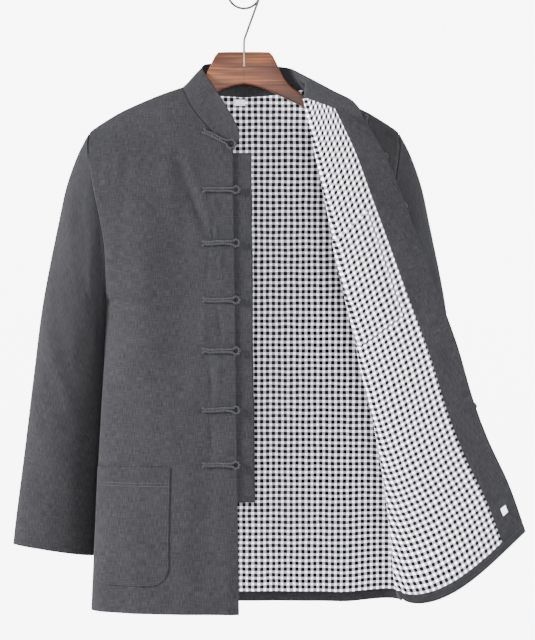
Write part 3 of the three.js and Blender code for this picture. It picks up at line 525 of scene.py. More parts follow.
def unevenness(a: Array, b: Array, size: tuple[float, float], seed: int) -> Array:
    """Smooth random height from -1 to 1.

    Args:
        a: First coordinate.
        b: Second coordinate.
        size: The bumps' size along each.
        seed: Picks the pattern.

    Returns:
        The heights.
    """
    lattice = np.random.default_rng(seed).uniform(-1, 1, (LATTICE, LATTICE))
    ga, gb = np.asarray(a) / size[0] + LATTICE_START, np.asarray(b) / size[1] + LATTICE_START
    ia, ib = np.floor(ga).astype(int), np.floor(gb).astype(int)
    fa, fb = ga - ia, gb - ib
    fa, fb = fa * fa * (3 - 2 * fa), fb * fb * (3 - 2 * fb)
    ia, ib = ia % LATTICE, ib % LATTICE
    next_a, next_b = (ia + 1) % LATTICE, (ib + 1) % LATTICE
    groove_shade = lattice[ia, ib] * (1 - fa) + lattice[next_a, ib] * fa
    ridge_light = lattice[ia, next_b] * (1 - fa) + lattice[next_a, next_b] * fa
    return groove_shade * (1 - fb) + ridge_light * fb


@dataclass
class ClothGrid:
    """Points on a garment's middle surface, by column and row, with their place on the flat cloth."""

    points: Array
    cloth: Array
    outwards: float = 1.0
    ring: bool = False
    normals: Array = field(init=False)

    def __post_init__(self) -> None:
        """Works out the normals, which stay in the plane of a seam at y = 0."""
        if self.ring:
            across = np.roll(self.points, -1, axis=0) - np.roll(self.points, 1, axis=0)
        else:
            across = np.gradient(self.points, axis=0)
        normal = np.cross(across, np.gradient(self.points, axis=1)) * self.outwards
        if not self.ring:
            normal[np.abs(self.points[..., 1]) < 0.01, 1] = 0
        self.normals = unit(normal)

    def part(self, columns: slice = slice(None), rows: slice = slice(None)) -> "ClothGrid":
        """Cuts out a part of the grid.

        Args:
            columns: Which columns.
            rows: Which rows.

        Returns:
            The part, with the normals of the whole.
        """
        piece = ClothGrid.__new__(ClothGrid)
        piece.points = self.points[columns, rows].copy()
        piece.normals = self.normals[columns, rows].copy()
        piece.cloth = self.cloth[columns, rows].copy()
        piece.outwards = self.outwards
        piece.ring = self.ring
        return piece

    def area(self) -> float:
        """Gives the grid's area in square metres."""
        edge_a = self.points[1:, :-1] - self.points[:-1, :-1]
        edge_b = self.points[:-1, 1:] - self.points[:-1, :-1]
        return float(np.linalg.norm(np.cross(edge_a, edge_b), axis=-1).sum()) * MM * MM


@dataclass(frozen=True)
class Layer:
    """A ply of cloth between two distances from the middle surface, in millimetres."""

    inside: float
    outside: float


SHELL = Layer(0.15, 1.65)
LINING = Layer(-1.15, -0.15)
LINED_SHELL = Layer(-1.15, 1.65)
SEAM_GAP = 0.3
RIM_SWELL = 0.3  # how far a turned edge swells, as a share of its thickness,
RIM_REACH = 0.8  # and at most, as a share of how far the edge is drawn in


def link(
    name: str, vertices: Array, faces: list, materials: Sequence[bpy.types.Material]
) -> bpy.types.Object:
    """Makes a mesh object at the origin, in metres.

    Args:
        name: The object's name.
        vertices: Corner places in millimetres.
        faces: Corner numbers of each face.
        materials: The object's materials, in order.

    Returns:
        The object, smooth shaded.
    """
    mesh = bpy.data.meshes.new(name)
    mesh.from_pydata((vertices * MM).tolist(), [], faces)
    for material in materials:
        mesh.materials.append(material)
    mesh.polygons.foreach_set("use_smooth", [True] * len(mesh.polygons))
    piece = bpy.data.objects.new(name, mesh)
    bpy.context.scene.collection.objects.link(piece)
    return piece


def set_cloth_map(piece: bpy.types.Object, places: Array) -> None:
    """Gives each corner its place on the flat cloth, as a UV map in metres.

    Args:
        piece: The piece.
        places: The corners' places in millimetres.
    """
    mesh = piece.data
    layer = mesh.uv_layers.new(name="cloth")
    corners = np.empty(len(mesh.loops), np.int32)
    mesh.loops.foreach_get("vertex_index", corners)
    layer.data.foreach_set("uv", (places[corners] * MM).astype(np.float32).ravel())


def wall(
    name: str,
    grid: ClothGrid,
    layer: Layer,
    outer: bpy.types.Material,
    inner: bpy.types.Material | None = None,
    edge: bpy.types.Material | None = None,
    step_rows: int = 0,
    drawn_in: float = SEAM_GAP / 2,
) -> bpy.types.Object:
    """Makes a closed wall of cloth with rounded edges.

    Args:
        name: The piece's name.
        grid: The middle surface.
        layer: How far the two faces are from it.
        outer: The material of the outer face.
        inner: The inner face's material, if it differs.
        edge: The edges' material, if it differs from the outer face's.
        step_rows: How many of the last rows are turned up, and reach in as far as the lining.
        drawn_in: How far the edges stay inside the grid's own.

    Returns:
        The finished piece.
    """
    p, n = grid.points.copy(), grid.normals
    columns, rows = p.shape[:2]

    def pull(line: tuple, beside: tuple) -> None:
        """Draws an edge of the grid in, towards the points beside it."""
        p[line] += unit(grid.points[beside] - grid.points[line]) * drawn_in

    if not grid.ring:
        pull(np.s_[0, :], np.s_[1, :])
        pull(np.s_[-1, :], np.s_[-2, :])
    pull(np.s_[:, 0], np.s_[:, 1])
    pull(np.s_[:, -1], np.s_[:, -2])
    inside = np.full(rows, layer.inside)
    if step_rows:
        inside[-step_rows:] = LINING.inside
    face_out = p + n * layer.outside
    face_in = p + n * inside[None, :, None]
    corners = columns * rows
    number = np.arange(corners).reshape(columns, rows)
    right = np.roll(number, -1, axis=0) if grid.ring else number[1:]
    left = number if grid.ring else number[:-1]
    a, b, c, d = left[:, :-1], left[:, 1:], right[:, 1:], right[:, :-1]
    outer_faces = np.stack([a, b, c, d], -1).reshape(-1, 4)
    inner_faces = np.stack([a, d, c, b], -1).reshape(-1, 4) + corners
    # The rim is a loop round the open edges, with a middle line that swells like a turned edge.
    vertices = [face_out.reshape(-1, 3), face_in.reshape(-1, 3)]
    places = [grid.cloth.reshape(-1, 2)] * 2
    rim_faces: list[list[int]] = []

    def rim(line: Array, inwards: Array) -> None:
        """Closes an edge.

        Args:
            line: The edge's ring of corners.
            inwards: Twice the middle surface's points one step in from it.
        """
        out_line = face_out.reshape(-1, 3)[line]
        in_line = face_in.reshape(-1, 3)[line]
        thick = np.linalg.norm(out_line - in_line, axis=-1, keepdims=True)
        swell = np.minimum(thick * RIM_SWELL, drawn_in * RIM_REACH)
        start = sum(len(v) for v in vertices)
        vertices.append((out_line + in_line) / 2 + unit(out_line + in_line - inwards) * swell)
        places.append(grid.cloth.reshape(-1, 2)[line])
        for k in range(len(line)):
            e, f = line[k], line[(k + 1) % len(line)]
            m, o = start + k, start + (k + 1) % len(line)
            rim_faces.append([e, m, o, f])
            rim_faces.append([m, e + corners, f + corners, o])

    both = face_out + face_in
    if grid.ring:
        rim(number[:, 0], both[:, 1])
        rim(number[:, -1][::-1], both[::-1, -2])
    else:
        around = np.concatenate([number[:, 0], number[-1, 1:], number[-2::-1, -1], number[0, -2:0:-1]])
        rim(around, np.concatenate([both[:, 1], both[-2, 1:], both[-2::-1, -2], both[1, -2:0:-1]]))
    faces = outer_faces.tolist() + inner_faces.tolist() + [[int(v) for v in f] for f in rim_faces]
    materials = [outer]
    chosen = np.zeros(len(faces), np.int32)
    if inner is not None:
        chosen[len(outer_faces) : 2 * len(outer_faces)] = len(materials)
        materials.append(inner)
    if edge is not None:
        chosen[2 * len(outer_faces) :] = len(materials)
        materials.append(edge)
    piece = link(name, np.concatenate(vertices), faces, materials)
    set_cloth_map(piece, np.concatenate(places))
    piece.data.polygons.foreach_set("material_index", chosen)
    fix_normals(piece)
    return piece


def select_only(piece: bpy.types.Object) -> None:
    """Makes a piece the active one, and the only one selected."""
    bpy.ops.object.select_all(action="DESELECT")
    bpy.context.view_layer.objects.active = piece
    piece.select_set(True)


def fix_normals(piece: bpy.types.Object) -> None:
    """Turns every face of a closed mesh outwards."""
    select_only(piece)
    bpy.ops.object.mode_set(mode="EDIT")
    bpy.ops.mesh.select_all(action="SELECT")
    bpy.ops.mesh.normals_make_consistent(inside=False)
    bpy.ops.object.mode_set(mode="OBJECT")
    piece.select_set(False)


def place(piece: bpy.types.Object, slot: Slot, *nodes: str) -> None:
    """Rides a piece on the jacket's body.

    Args:
        piece: The finished piece.
        slot: Not used.
        nodes: The CAD nodes that it stands for.
    """
    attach(piece, BODY)
    if nodes:
        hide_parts(*nodes)
    log.info("%s: %d faces", piece.name, len(piece.data.polygons))


# ---------------------------------------------------------------- the jacket's sizes, in millimetres

HEM_Z = -888.0
HEM_TURN = 13.5  # the shell turns up over the lining by this much
TIP = (217.0, -221.0)  # outer end of the shoulder seam
NECK_X = 87.0
UNDERARM_Z = -455.0
ARMHOLE_HALF_DEPTH = 38.0
SHOULDER_ROUNDING = 250.0
FRONT_EDGE_TOP = (15.0, -247.0)
FRONT_EDGE_HEM_X = 6.0
HEM_PULL = 8.0  # the turned-back front drags the left side out by this much at the hem,
HEM_RISE = 9.0  # and up by this much,
HEM_PULL_FROM = -650.0  # from this height down
FRONT_DROP = 2.5  # the right front hangs this much lower than the back
ROW_CROWDING = 1.35
SCALE = 1  # 2 takes every second column and row


def count(full: int) -> int:
    """Gives how many columns or rows to use for a full number of them."""
    return max(4, full // SCALE)


BODY_SHAPE = Table(
    "z half_width half_depth squareness",
    [
        (-157, 217, 52, 4),
        (-221, 217, 53, 4),
        (-240, 218, 53, 4),
        (-270, 214, 53.5, 3.6),
        (-303, 208, 54, 3.2),
        (-340, 200, 54, 2.9),
        (-380, 193.5, 55, 2.6),
        (-420, 192, 55, 2.5),
        (-455, 192.5, 56, 2.5),
        (-520, 194.5, 58, 2.5),
        (-600, 199, 61, 2.5),
        (-700, 204.5, 64.5, 2.5),
        (-800, 209.5, 68, 2.5),
        (-888, 213.5, 70, 2.5),
    ],
)
SHOULDER_SEAM = Table(
    "x z", [(87, -157), (121, -169), (171, -191), (194, -204.5), (212, -216.5), (217, -221)]
)
FRONT_NECK_SEAM = Table("x z", [(15, -247), (32, -235), (61, -202.5), (76, -182), (87, -157)])
BACK_NECK_SEAM = Table("x z", [(0, -168), (45, -164.5), (75, -159), (87, -157)])

# Creases of each face: where each starts and ends, its width and depth, and whether its end is open. The
# first rows of the front and of the back are the broad hanging folds.
CREASE_ROWS: dict[str, list[Sequence[float]]] = {
    "front": [
        (-104, -212, -50, -370, 15, 3.2),
        (-181, -232, -186, -330, 9, -2.4),
        (-150, -330, -128, -560, 22, 2.2),
        (-46, -560, -47, -860, 16, -2.2),
        (-85, -640, -78, -888, 18, 2.6, True),
        (-168, -620, -176, -888, 15, -2, True),
        # The chest's broad fullness beside the armhole, and the hollow next to it.
        (-146, -215, -140, -640, 38, 6.5),
        (-84, -250, -82, -680, 30, -4.0),
        (-32, -620, -36, -888, 26, 2.4, True),
        (-120, -650, -118, -888, 40, 3.0, True),
        # The long drag fold that falls from the shoulder point to the third frog.
        (-96, -236, -78, -300, 9, -7.1),
        (-86, -274, -46, -378, 8, -6.5),
        (-112, -250, -92, -360, 11, 3.7),
        # Creases that run down from the shoulder beside the armhole.
        (-196, -222, -203, -318, 4.5, -2.3),
        (-173, -222, -183, -350, 5, 1.9),
        (-160, -236, -170, -380, 6, -2),
        (-146, -214, -150, -300, 7, 1.4),
        # Pulls between the frogs, where the edge is held shut.
        (-45, -306, -34, -338, 3.2, 1.9),
        (-43, -350, -42, -374, 2.6, -1.9),
        (-38, -352, -37, -375, 2.4, 1.6),
        (-30, -382, -34, -420, 3.4, 1.4),
        (-46, -382, -52, -436, 4, -1.7),
        (-36, -460, -30, -520, 3.6, -1.6),
        (-52, -462, -58, -520, 5, 1.4),
        (-47, -534, -43, -604, 4, -1.9),
        (-33, -536, -36, -600, 4, 1.2),
        (-46, -615, -43, -680, 4, -1.7),
        (-30, -692, -40, -790, 7, 1.4),
        # Slack across the chest and belly.
        (-70, -420, -120, -470, 13, 1.6),
        (-178, -430, -150, -520, 11, -2),
        (-64, -520, -76, -640, 9, 1.4),
        (-112, -560, -118, -700, 10, -1.4),
        (-140, -700, -150, -888, 11, 1.6, True),
        (-22, -760, -20, -888, 9, 1.7, True),
    ],
    "back": [
        (-150, -260, -112, -470, 16, -3),
        (150, -250, 96, -500, 17, -3.4),
        (-64, -430, -82, -888, 26, 3, True),
        (18, -520, 8, -888, 22, -2.8, True),
        (98, -560, 118, -888, 24, 2.8, True),
        (0, -200, -18, -330, 14, -1.4),
        (60, -200, 44, -360, 9, -1.6),
        (88, -240, 70, -420, 8, 1.5),
        (-100, -220, -84, -420, 10, 1.4),
        (36, -360, 30, -560, 10, 1.5),
        (62, -420, 70, -640, 9, -1.6),
        (100, -430, 96, -600, 8, 1.3),
        (-150, -500, -160, -800, 14, -1.8),
        (140, -620, 152, -888, 12, -1.6, True),
        (52, -660, 46, -888, 11, 1.6, True),
        (84, -700, 90, -888, 9, -1.4, True),
        (-120, -640, -124, -888, 12, 1.5, True),
        (-30, -640, -36, -888, 10, -1.4, True),
    ],
    # On the turned-back flap a positive height is away from the viewer.
    "flap": [
        (126, -330, 150, -420, 5, 1.4),
        (104, -262, 132, -330, 6, -1.2),
        (150, -250, 168, -330, 8, -1.4),
        (182, -320, 206, -400, 9, 1.6),
        (168, -420, 214, -520, 14, -1.8),
        (232, -430, 262, -520, 10, 1.6),
        (196, -510, 236, -620, 10, 2.0),
        (246, -560, 290, -660, 12, -2.0),
        (214, -640, 262, -760, 9, -1.8),
        (262, -690, 300, -770, 9, 1.8),
        (312, -660, 338, -740, 9, -1.5),
        (236, -780, 250, -830, 9, 1.6),
        (198, -240, 214, -282, 5, 1.1),
        (222, -350, 246, -410, 5, 1.0),
        (272, -490, 288, -560, 6, 1.1),
        (330, -690, 362, -760, 7, 1.4),
    ],
}
CREASES = {face: [Crease(*row) for row in rows] for face, rows in CREASE_ROWS.items()}
UNEVEN = {"front": (0.75, 11), "back": (1.0, 23), "flap": (1.0, 37)}  # height and seed
BROAD_BUMPS, FINE_BUMPS, FINE_SHARE = (44, 70), (15, 27), 0.3


def lie_of_cloth(face: str, x: Array, z: Array) -> Array:
    """Gives how far a face's creases and unevenness move its cloth.

    Args:
        face: Which face.
        x: Places across it.
        z: Heights.

    Returns:
        The distances, along Y.
    """
    height = sum(crease.height(x, z) for crease in CREASES[face])
    amount, seed = UNEVEN[face]
    broad = unevenness(x, z, BROAD_BUMPS, seed)
    fine = unevenness(x, z, FINE_BUMPS, seed + 1)
    return height + amount * broad + FINE_SHARE * amount * fine


def front_edge_x(z: Array | float) -> Array | float:
    """Gives how far the right front's edge is from the middle at a height, along one straight line."""
    (top_x, top_z), hem_x = FRONT_EDGE_TOP, FRONT_EDGE_HEM_X
    return top_x + (hem_x - top_x) * (z - top_z) / (HEM_Z - top_z)


def half_width(z: Array | float, side: Array | float) -> Array:
    """Gives the body's half width at a height, on one side."""
    pulled = smooth((HEM_PULL_FROM - np.asarray(z)) / (HEM_PULL_FROM - HEM_Z))
    return BODY_SHAPE.read("half_width", z) + np.where(np.asarray(side) > 0, HEM_PULL * pulled, 0)


def hem_rise(share: Array | float, z: Array) -> Array:
    """Gives how far the pull raises the cloth at a share of the way to the left side seam."""
    return HEM_RISE * smooth((HEM_PULL_FROM - z) / (HEM_PULL_FROM - HEM_Z)) * smooth((share - 0.6) / 0.4)


def armhole_half_depth(z: Array | float) -> Array:
    """Gives the body's half depth at its side seam."""
    middle, reach = (TIP[1] + UNDERARM_Z) / 2, (TIP[1] - UNDERARM_Z) / 2
    return ARMHOLE_HALF_DEPTH * np.sqrt(np.maximum(0, 1 - ((np.asarray(z) - middle) / reach) ** 2))


def body_depth(face: str, x: Array, z: Array) -> Array:
    """Gives how far the front or back lies from the plane of the side seams.

    Args:
        face: Which of the two.
        x: Places across it.
        z: Heights.

    Returns:
        The distances.
    """
    x, z = np.asarray(x, float), np.asarray(z, float)
    share = np.minimum(np.abs(x) / half_width(z, x), 1)
    seam_z = SHOULDER_SEAM.read("z", np.maximum(np.abs(x), NECK_X))
    below = np.clip((seam_z - z) / SHOULDER_ROUNDING, 0, 1)
    full = BODY_SHAPE.read("half_depth", z) * np.sqrt(1 - (1 - below) ** 2)
    squareness = BODY_SHAPE.read("squareness", z)
    round_off = np.maximum(0, 1 - share**squareness) ** (1 / squareness)
    armhole = armhole_half_depth(z)
    return armhole + (full - armhole + lie_of_cloth(face, x, z) * np.sqrt(below)) * round_off


def rows_down(top_z: Array, rows: int) -> Array:
    """Gives each column's row heights, crowded towards the top, with HEM_ROWS more down the hem.

    Args:
        top_z: Each column's top.
        rows: How many rows there are above the turned-up hem.

    Returns:
        Heights by column and row.
    """
    t = np.linspace(0, 1, rows + 1)[None, :] ** ROW_CROWDING
    above = top_z[:, None] + (HEM_Z + HEM_TURN - top_z[:, None]) * t
    hem = [HEM_Z + HEM_TURN - 1, HEM_Z + HEM_TURN / 2, HEM_Z + 1.5, HEM_Z]
    return np.concatenate([above, np.repeat([hem], len(top_z), axis=0)], axis=1)


HEM_ROWS = 4


def locate(grid: ClothGrid, across: Array, down: Array) -> tuple[Array, Array]:
    """Finds places on a panel by their distance from its front edge and their height on it.

    Args:
        grid: The panel.
        across: Distances.
        down: Heights.

    Returns:
        The points and their normals.
    """
    across, down = np.broadcast_arrays(np.asarray(across, float), np.asarray(down, float))
    last_a, last_b = grid.points.shape[0] - 1, grid.points.shape[1] - 1

    # A coarse search gives the start, and then Newton steps.
    flat = grid.cloth[::2, ::2].reshape(-1, 2)
    wanted = np.stack([across, down], -1).reshape(-1, 2)
    nearest = np.array([int(np.argmin(((flat - w) ** 2).sum(-1))) for w in wanted])
    width = grid.cloth[::2, ::2].shape[1]
    a = (nearest // width * 2.0).reshape(across.shape)
    b = (nearest % width * 2.0).reshape(across.shape)
    probe = 0.01
    for _ in range(14):
        here = bilinear(grid.cloth, a, b)
        by_a = (bilinear(grid.cloth, a + probe, b) - here) / probe
        by_b = (bilinear(grid.cloth, a, b + probe) - here) / probe
        area = by_a[..., 0] * by_b[..., 1] - by_a[..., 1] * by_b[..., 0]
        area = np.where(np.abs(area) < 1e-9, 1e-9, area)
        miss_a, miss_d = across - here[..., 0], down - here[..., 1]
        step_a = (miss_a * by_b[..., 1] - miss_d * by_b[..., 0]) / area
        step_b = (miss_d * by_a[..., 0] - miss_a * by_a[..., 1]) / area
        a = np.clip(a + np.clip(step_a, -3, 3), 0, last_a)
        b = np.clip(b + np.clip(step_b, -3, 3), 0, last_b)
    return bilinear(grid.points, a, b), unit(bilinear(grid.normals, a, b))


# ---------------------------------------------------------------- the body's panels


def shoulder_columns(many: int) -> Array:
    """Gives where columns leave the shoulder seam, crowded towards its outer end."""
    return NECK_X + (TIP[0] - NECK_X) * np.sin(np.pi / 2 * np.linspace(0, 1, many + 1))


@dataclass
class RightFront:
    """The right front, which lies flat on the body and carries the loops."""

    neck: int = count(48)
    shoulder: int = count(56)
    rows: int = count(170)
    grid: ClothGrid = field(init=False)

    def __post_init__(self) -> None:
        """Works out the panel's grid."""
        neck = np.linspace(FRONT_EDGE_TOP[0], NECK_X, self.neck + 1)[:-1]
        starts = np.concatenate([neck, shoulder_columns(self.shoulder)])
        tops = np.where(
            starts < NECK_X, FRONT_NECK_SEAM.read("z", starts), SHOULDER_SEAM.read("z", starts)
        )
        z = rows_down(tops, self.rows)
        z = tops[:, None] + (z - tops[:, None]) * (1 + FRONT_DROP / (tops[:, None] - HEM_Z))
        edge_x = front_edge_x(np.clip(z, HEM_Z, FRONT_EDGE_TOP[1]))
        share = ((starts - FRONT_EDGE_TOP[0]) / (TIP[0] - FRONT_EDGE_TOP[0]))[:, None]
        x = -(edge_x + (half_width(z, -1) - edge_x) * share)
        y = -body_depth("front", x, z)
        y[self.neck :, 0] = 0
        points = np.stack([x, y, z], -1)
        self.grid = ClothGrid(points, np.stack([run_along(points), z], -1))

    def neck_line(self) -> tuple[Array, Array]:
        """Gives the neck seam's points and normals, from the front edge to the shoulder."""
        return self.grid.points[: self.neck + 1, 0], self.grid.normals[: self.neck + 1, 0]


@dataclass
class Back:
    """The back and, on its inside, the gingham that shows behind the hanger."""

    neck: int = count(26)
    shoulder: int = count(52)
    rows: int = count(150)
    grid: ClothGrid = field(init=False)

    def __post_init__(self) -> None:
        """Works out the panel's grid."""
        half = np.concatenate(
            [np.linspace(0, NECK_X, self.neck + 1)[:-1], shoulder_columns(self.shoulder)]
        )
        starts = np.concatenate([-half[:0:-1], half])
        size = np.abs(starts)
        tops = np.where(size < NECK_X, BACK_NECK_SEAM.read("z", size), SHOULDER_SEAM.read("z", size))
        z = rows_down(tops, self.rows)
        side = np.sign(starts)[:, None]
        x = side * half_width(z, side) * (size / TIP[0])[:, None]
        y = body_depth("back", x, z)
        y[size >= NECK_X, 0] = 0
        rise = hem_rise((starts / TIP[0])[:, None], z)
        self.grid = ClothGrid(np.stack([x, y, z + rise], -1), np.stack([x, z], -1))

    def neck_line(self) -> tuple[Array, Array]:
        """Gives the neck seam's points and normals, from right to left, without the two ends."""
        part = slice(self.shoulder + 1, -self.shoulder - 1)
        return self.grid.points[part, 0], self.grid.normals[part, 0]


@dataclass
class LeftFront:
    """The left front: a side that lies on the body, a soft fold, and a flap turned back to the left."""

    side: int = count(34)
    arc: int = count(9)
    drop: int = count(5)
    flap: int = count(64)
    facing: int = count(20)
    rows: int = count(150)
    facing_top: float = 48
    facing_hem: float = 39
    sag: float = 26
    sag_x: float = 0.475
    sag_z: float = -0.88
    sag_towards_fold: float = 0.62
    fullness: float = 7
    fold_rows: Sequence[Sequence[float]] = (
        (84, -174, 4.5, 0),
        (93, -219, 5, 0),
        (104, -273, 5.5, 0),
        (122.5, -362, 6, 0),
        (133.6, -423, 6, 0),
        (150, -486, 6, 2),
        (164, -556, 6, 5),
        (184, -640, 6, 9),
        (197, -715, 6, 14),
        (206, -788, 5, 22),
        (211, -851, 4.5, 29),
        (217, -872, 4, 31),
    )
    edge_rows: Sequence[Sequence[float]] = (
        (169, -207, -44),
        (177.7, -221, -49),
        (197.7, -257, -54),
        (220, -314, -57),
        (240, -365.5, -58),
        (267, -438, -58),
        (296, -518, -58),
        (318, -593, -57),
        (339, -649, -55),
        (368, -711, -51),
        (392, -777.5, -46),
    )
    grid: ClothGrid = field(init=False)

    def __post_init__(self) -> None:
        """Works out the panel's grid."""
        fold = Table("along x z radius drop", with_length(self.fold_rows))
        edge = Table("along x z y", with_length(self.edge_rows))
        turn = HEM_TURN / (TIP[1] - HEM_Z)
        v = np.concatenate(
            [
                (1 - turn) * np.linspace(0, 1, self.rows + 1) ** ROW_CROWDING,
                [1 - turn + 1 / (TIP[1] - HEM_Z), 1 - turn / 2, 1 - 0.1 * turn, 1],
            ]
        )
        body = np.stack([self.on_body(s, v, fold) for s in np.linspace(0, 1, self.side + 1)])
        start = body[-1]
        radius, drop = fold.read("radius", v), fold.read("drop", v)
        bends = [(np.pi / 2 * step / self.arc, 0.0) for step in range(1, self.arc + 1)]
        bends += [(np.pi / 2, step / self.drop) for step in range(1, self.drop + 1)]
        bends += [(np.pi / 2 * (1 + step / self.arc), 1.0) for step in range(1, self.arc + 1)]
        turned = np.stack(
            [
                start
                + np.stack([-radius * np.sin(a), -radius * (1 - np.cos(a)) - drop * d, 0 * v], -1)
                for a, d in bends
            ]
        )
        flap = self.on_flap(turned[-1], v, fold, edge)
        points = np.concatenate([body, turned, flap])
        neck_z = float(SHOULDER_SEAM.read("z", NECK_X))
        flap_share = np.concatenate(
            [np.zeros(len(body) + len(turned)), np.arange(1, len(flap) + 1) / len(flap)]
        )
        top = neck_z + (FRONT_EDGE_TOP[1] - neck_z) * flap_share
        height = top[:, None] + (HEM_Z - top[:, None]) * v[None, :]
        self.grid = ClothGrid(points, np.stack([run_along(points, True), height], -1))
        self.flap_start = len(body) + len(turned) - 1
        self.facing_start = self.flap_start + self.flap

    def on_body(self, share: float, v: Array, fold: Table) -> Array:
        """Works out a column of the side that lies on the body.

        Args:
            share: How far the column is from the side seam towards the fold.
            v: Each row's share of the way down.
            fold: The fold's line.

        Returns:
            The column's points.
        """
        side_z = rows_down(np.array([TIP[1]]), self.rows)[0]
        rise = hem_rise(1.0, side_z)
        side = np.stack([half_width(side_z, 1), side_z + rise], -1)
        fold_start = np.stack([fold.read("x", v) + fold.read("radius", v), fold.read("z", v)], -1)
        flat = side + (fold_start - side) * share
        seam_x = TIP[0] + (NECK_X - TIP[0]) * min(1.0, share * 1.25)
        seam = np.array([seam_x, float(SHOULDER_SEAM.read("z", seam_x))])
        top = np.array(TIP) + (fold_start[0] - np.array(TIP)) * share
        weight = 1.0 if share <= 0.8 else (1 - share) / 0.2
        flat = flat + (seam - top) * ((1 - v) ** 6)[:, None] * (weight if share > 0 else 0)
        y = -body_depth("front", flat[:, 0], flat[:, 1] - rise * (1 - share))
        y[0] *= smooth((share - 0.8) / 0.2)
        return np.stack([flat[:, 0], y, flat[:, 1]], -1)

    def on_flap(self, start: Array, v: Array, fold: Table, edge: Table) -> Array:
        """Works out the flap's columns, from the fold to the front edge.

        Args:
            start: The fold's last column.
            v: Each row's share of the way down.
            fold: The fold's line.
            edge: The front edge's line.

        Returns:
            The points by column and row.
        """
        end = np.stack([edge.read("x", v), edge.read("y", v), edge.read("z", v)], -1)
        reach = np.hypot(edge.read("x", v) - fold.read("x", v), edge.read("z", v) - fold.read("z", v))
        facing = 1 - (self.facing_top + (self.facing_hem - self.facing_top) * v) / reach
        shares = [facing * (k / self.flap) for k in range(1, self.flap + 1)]
        shares += [facing + (1 - facing) * (k / self.facing) for k in range(1, self.facing + 1)]
        columns = []
        for share in shares:
            point = start + (end - start) * share[:, None]
            sag = self.sag * np.sin(np.pi * share**self.sag_towards_fold) * v**5
            point[:, 0] += sag * self.sag_x
            point[:, 2] += sag * self.sag_z
            point[:, 1] -= self.fullness * np.sin(np.pi * share)
            lie = lie_of_cloth("flap", point[:, 0], point[:, 2])
            point[:, 1] += lie * smooth(share * 7) * smooth((1.02 - share) * 9) * smooth(v * 12)
            columns.append(point)
        return np.stack(columns)

    def neck_line(self) -> tuple[Array, Array]:
        """Gives the neck seam's points and normals, from the shoulder to the front edge."""
        return self.grid.points[self.side :, 0], self.grid.normals[self.side :, 0]


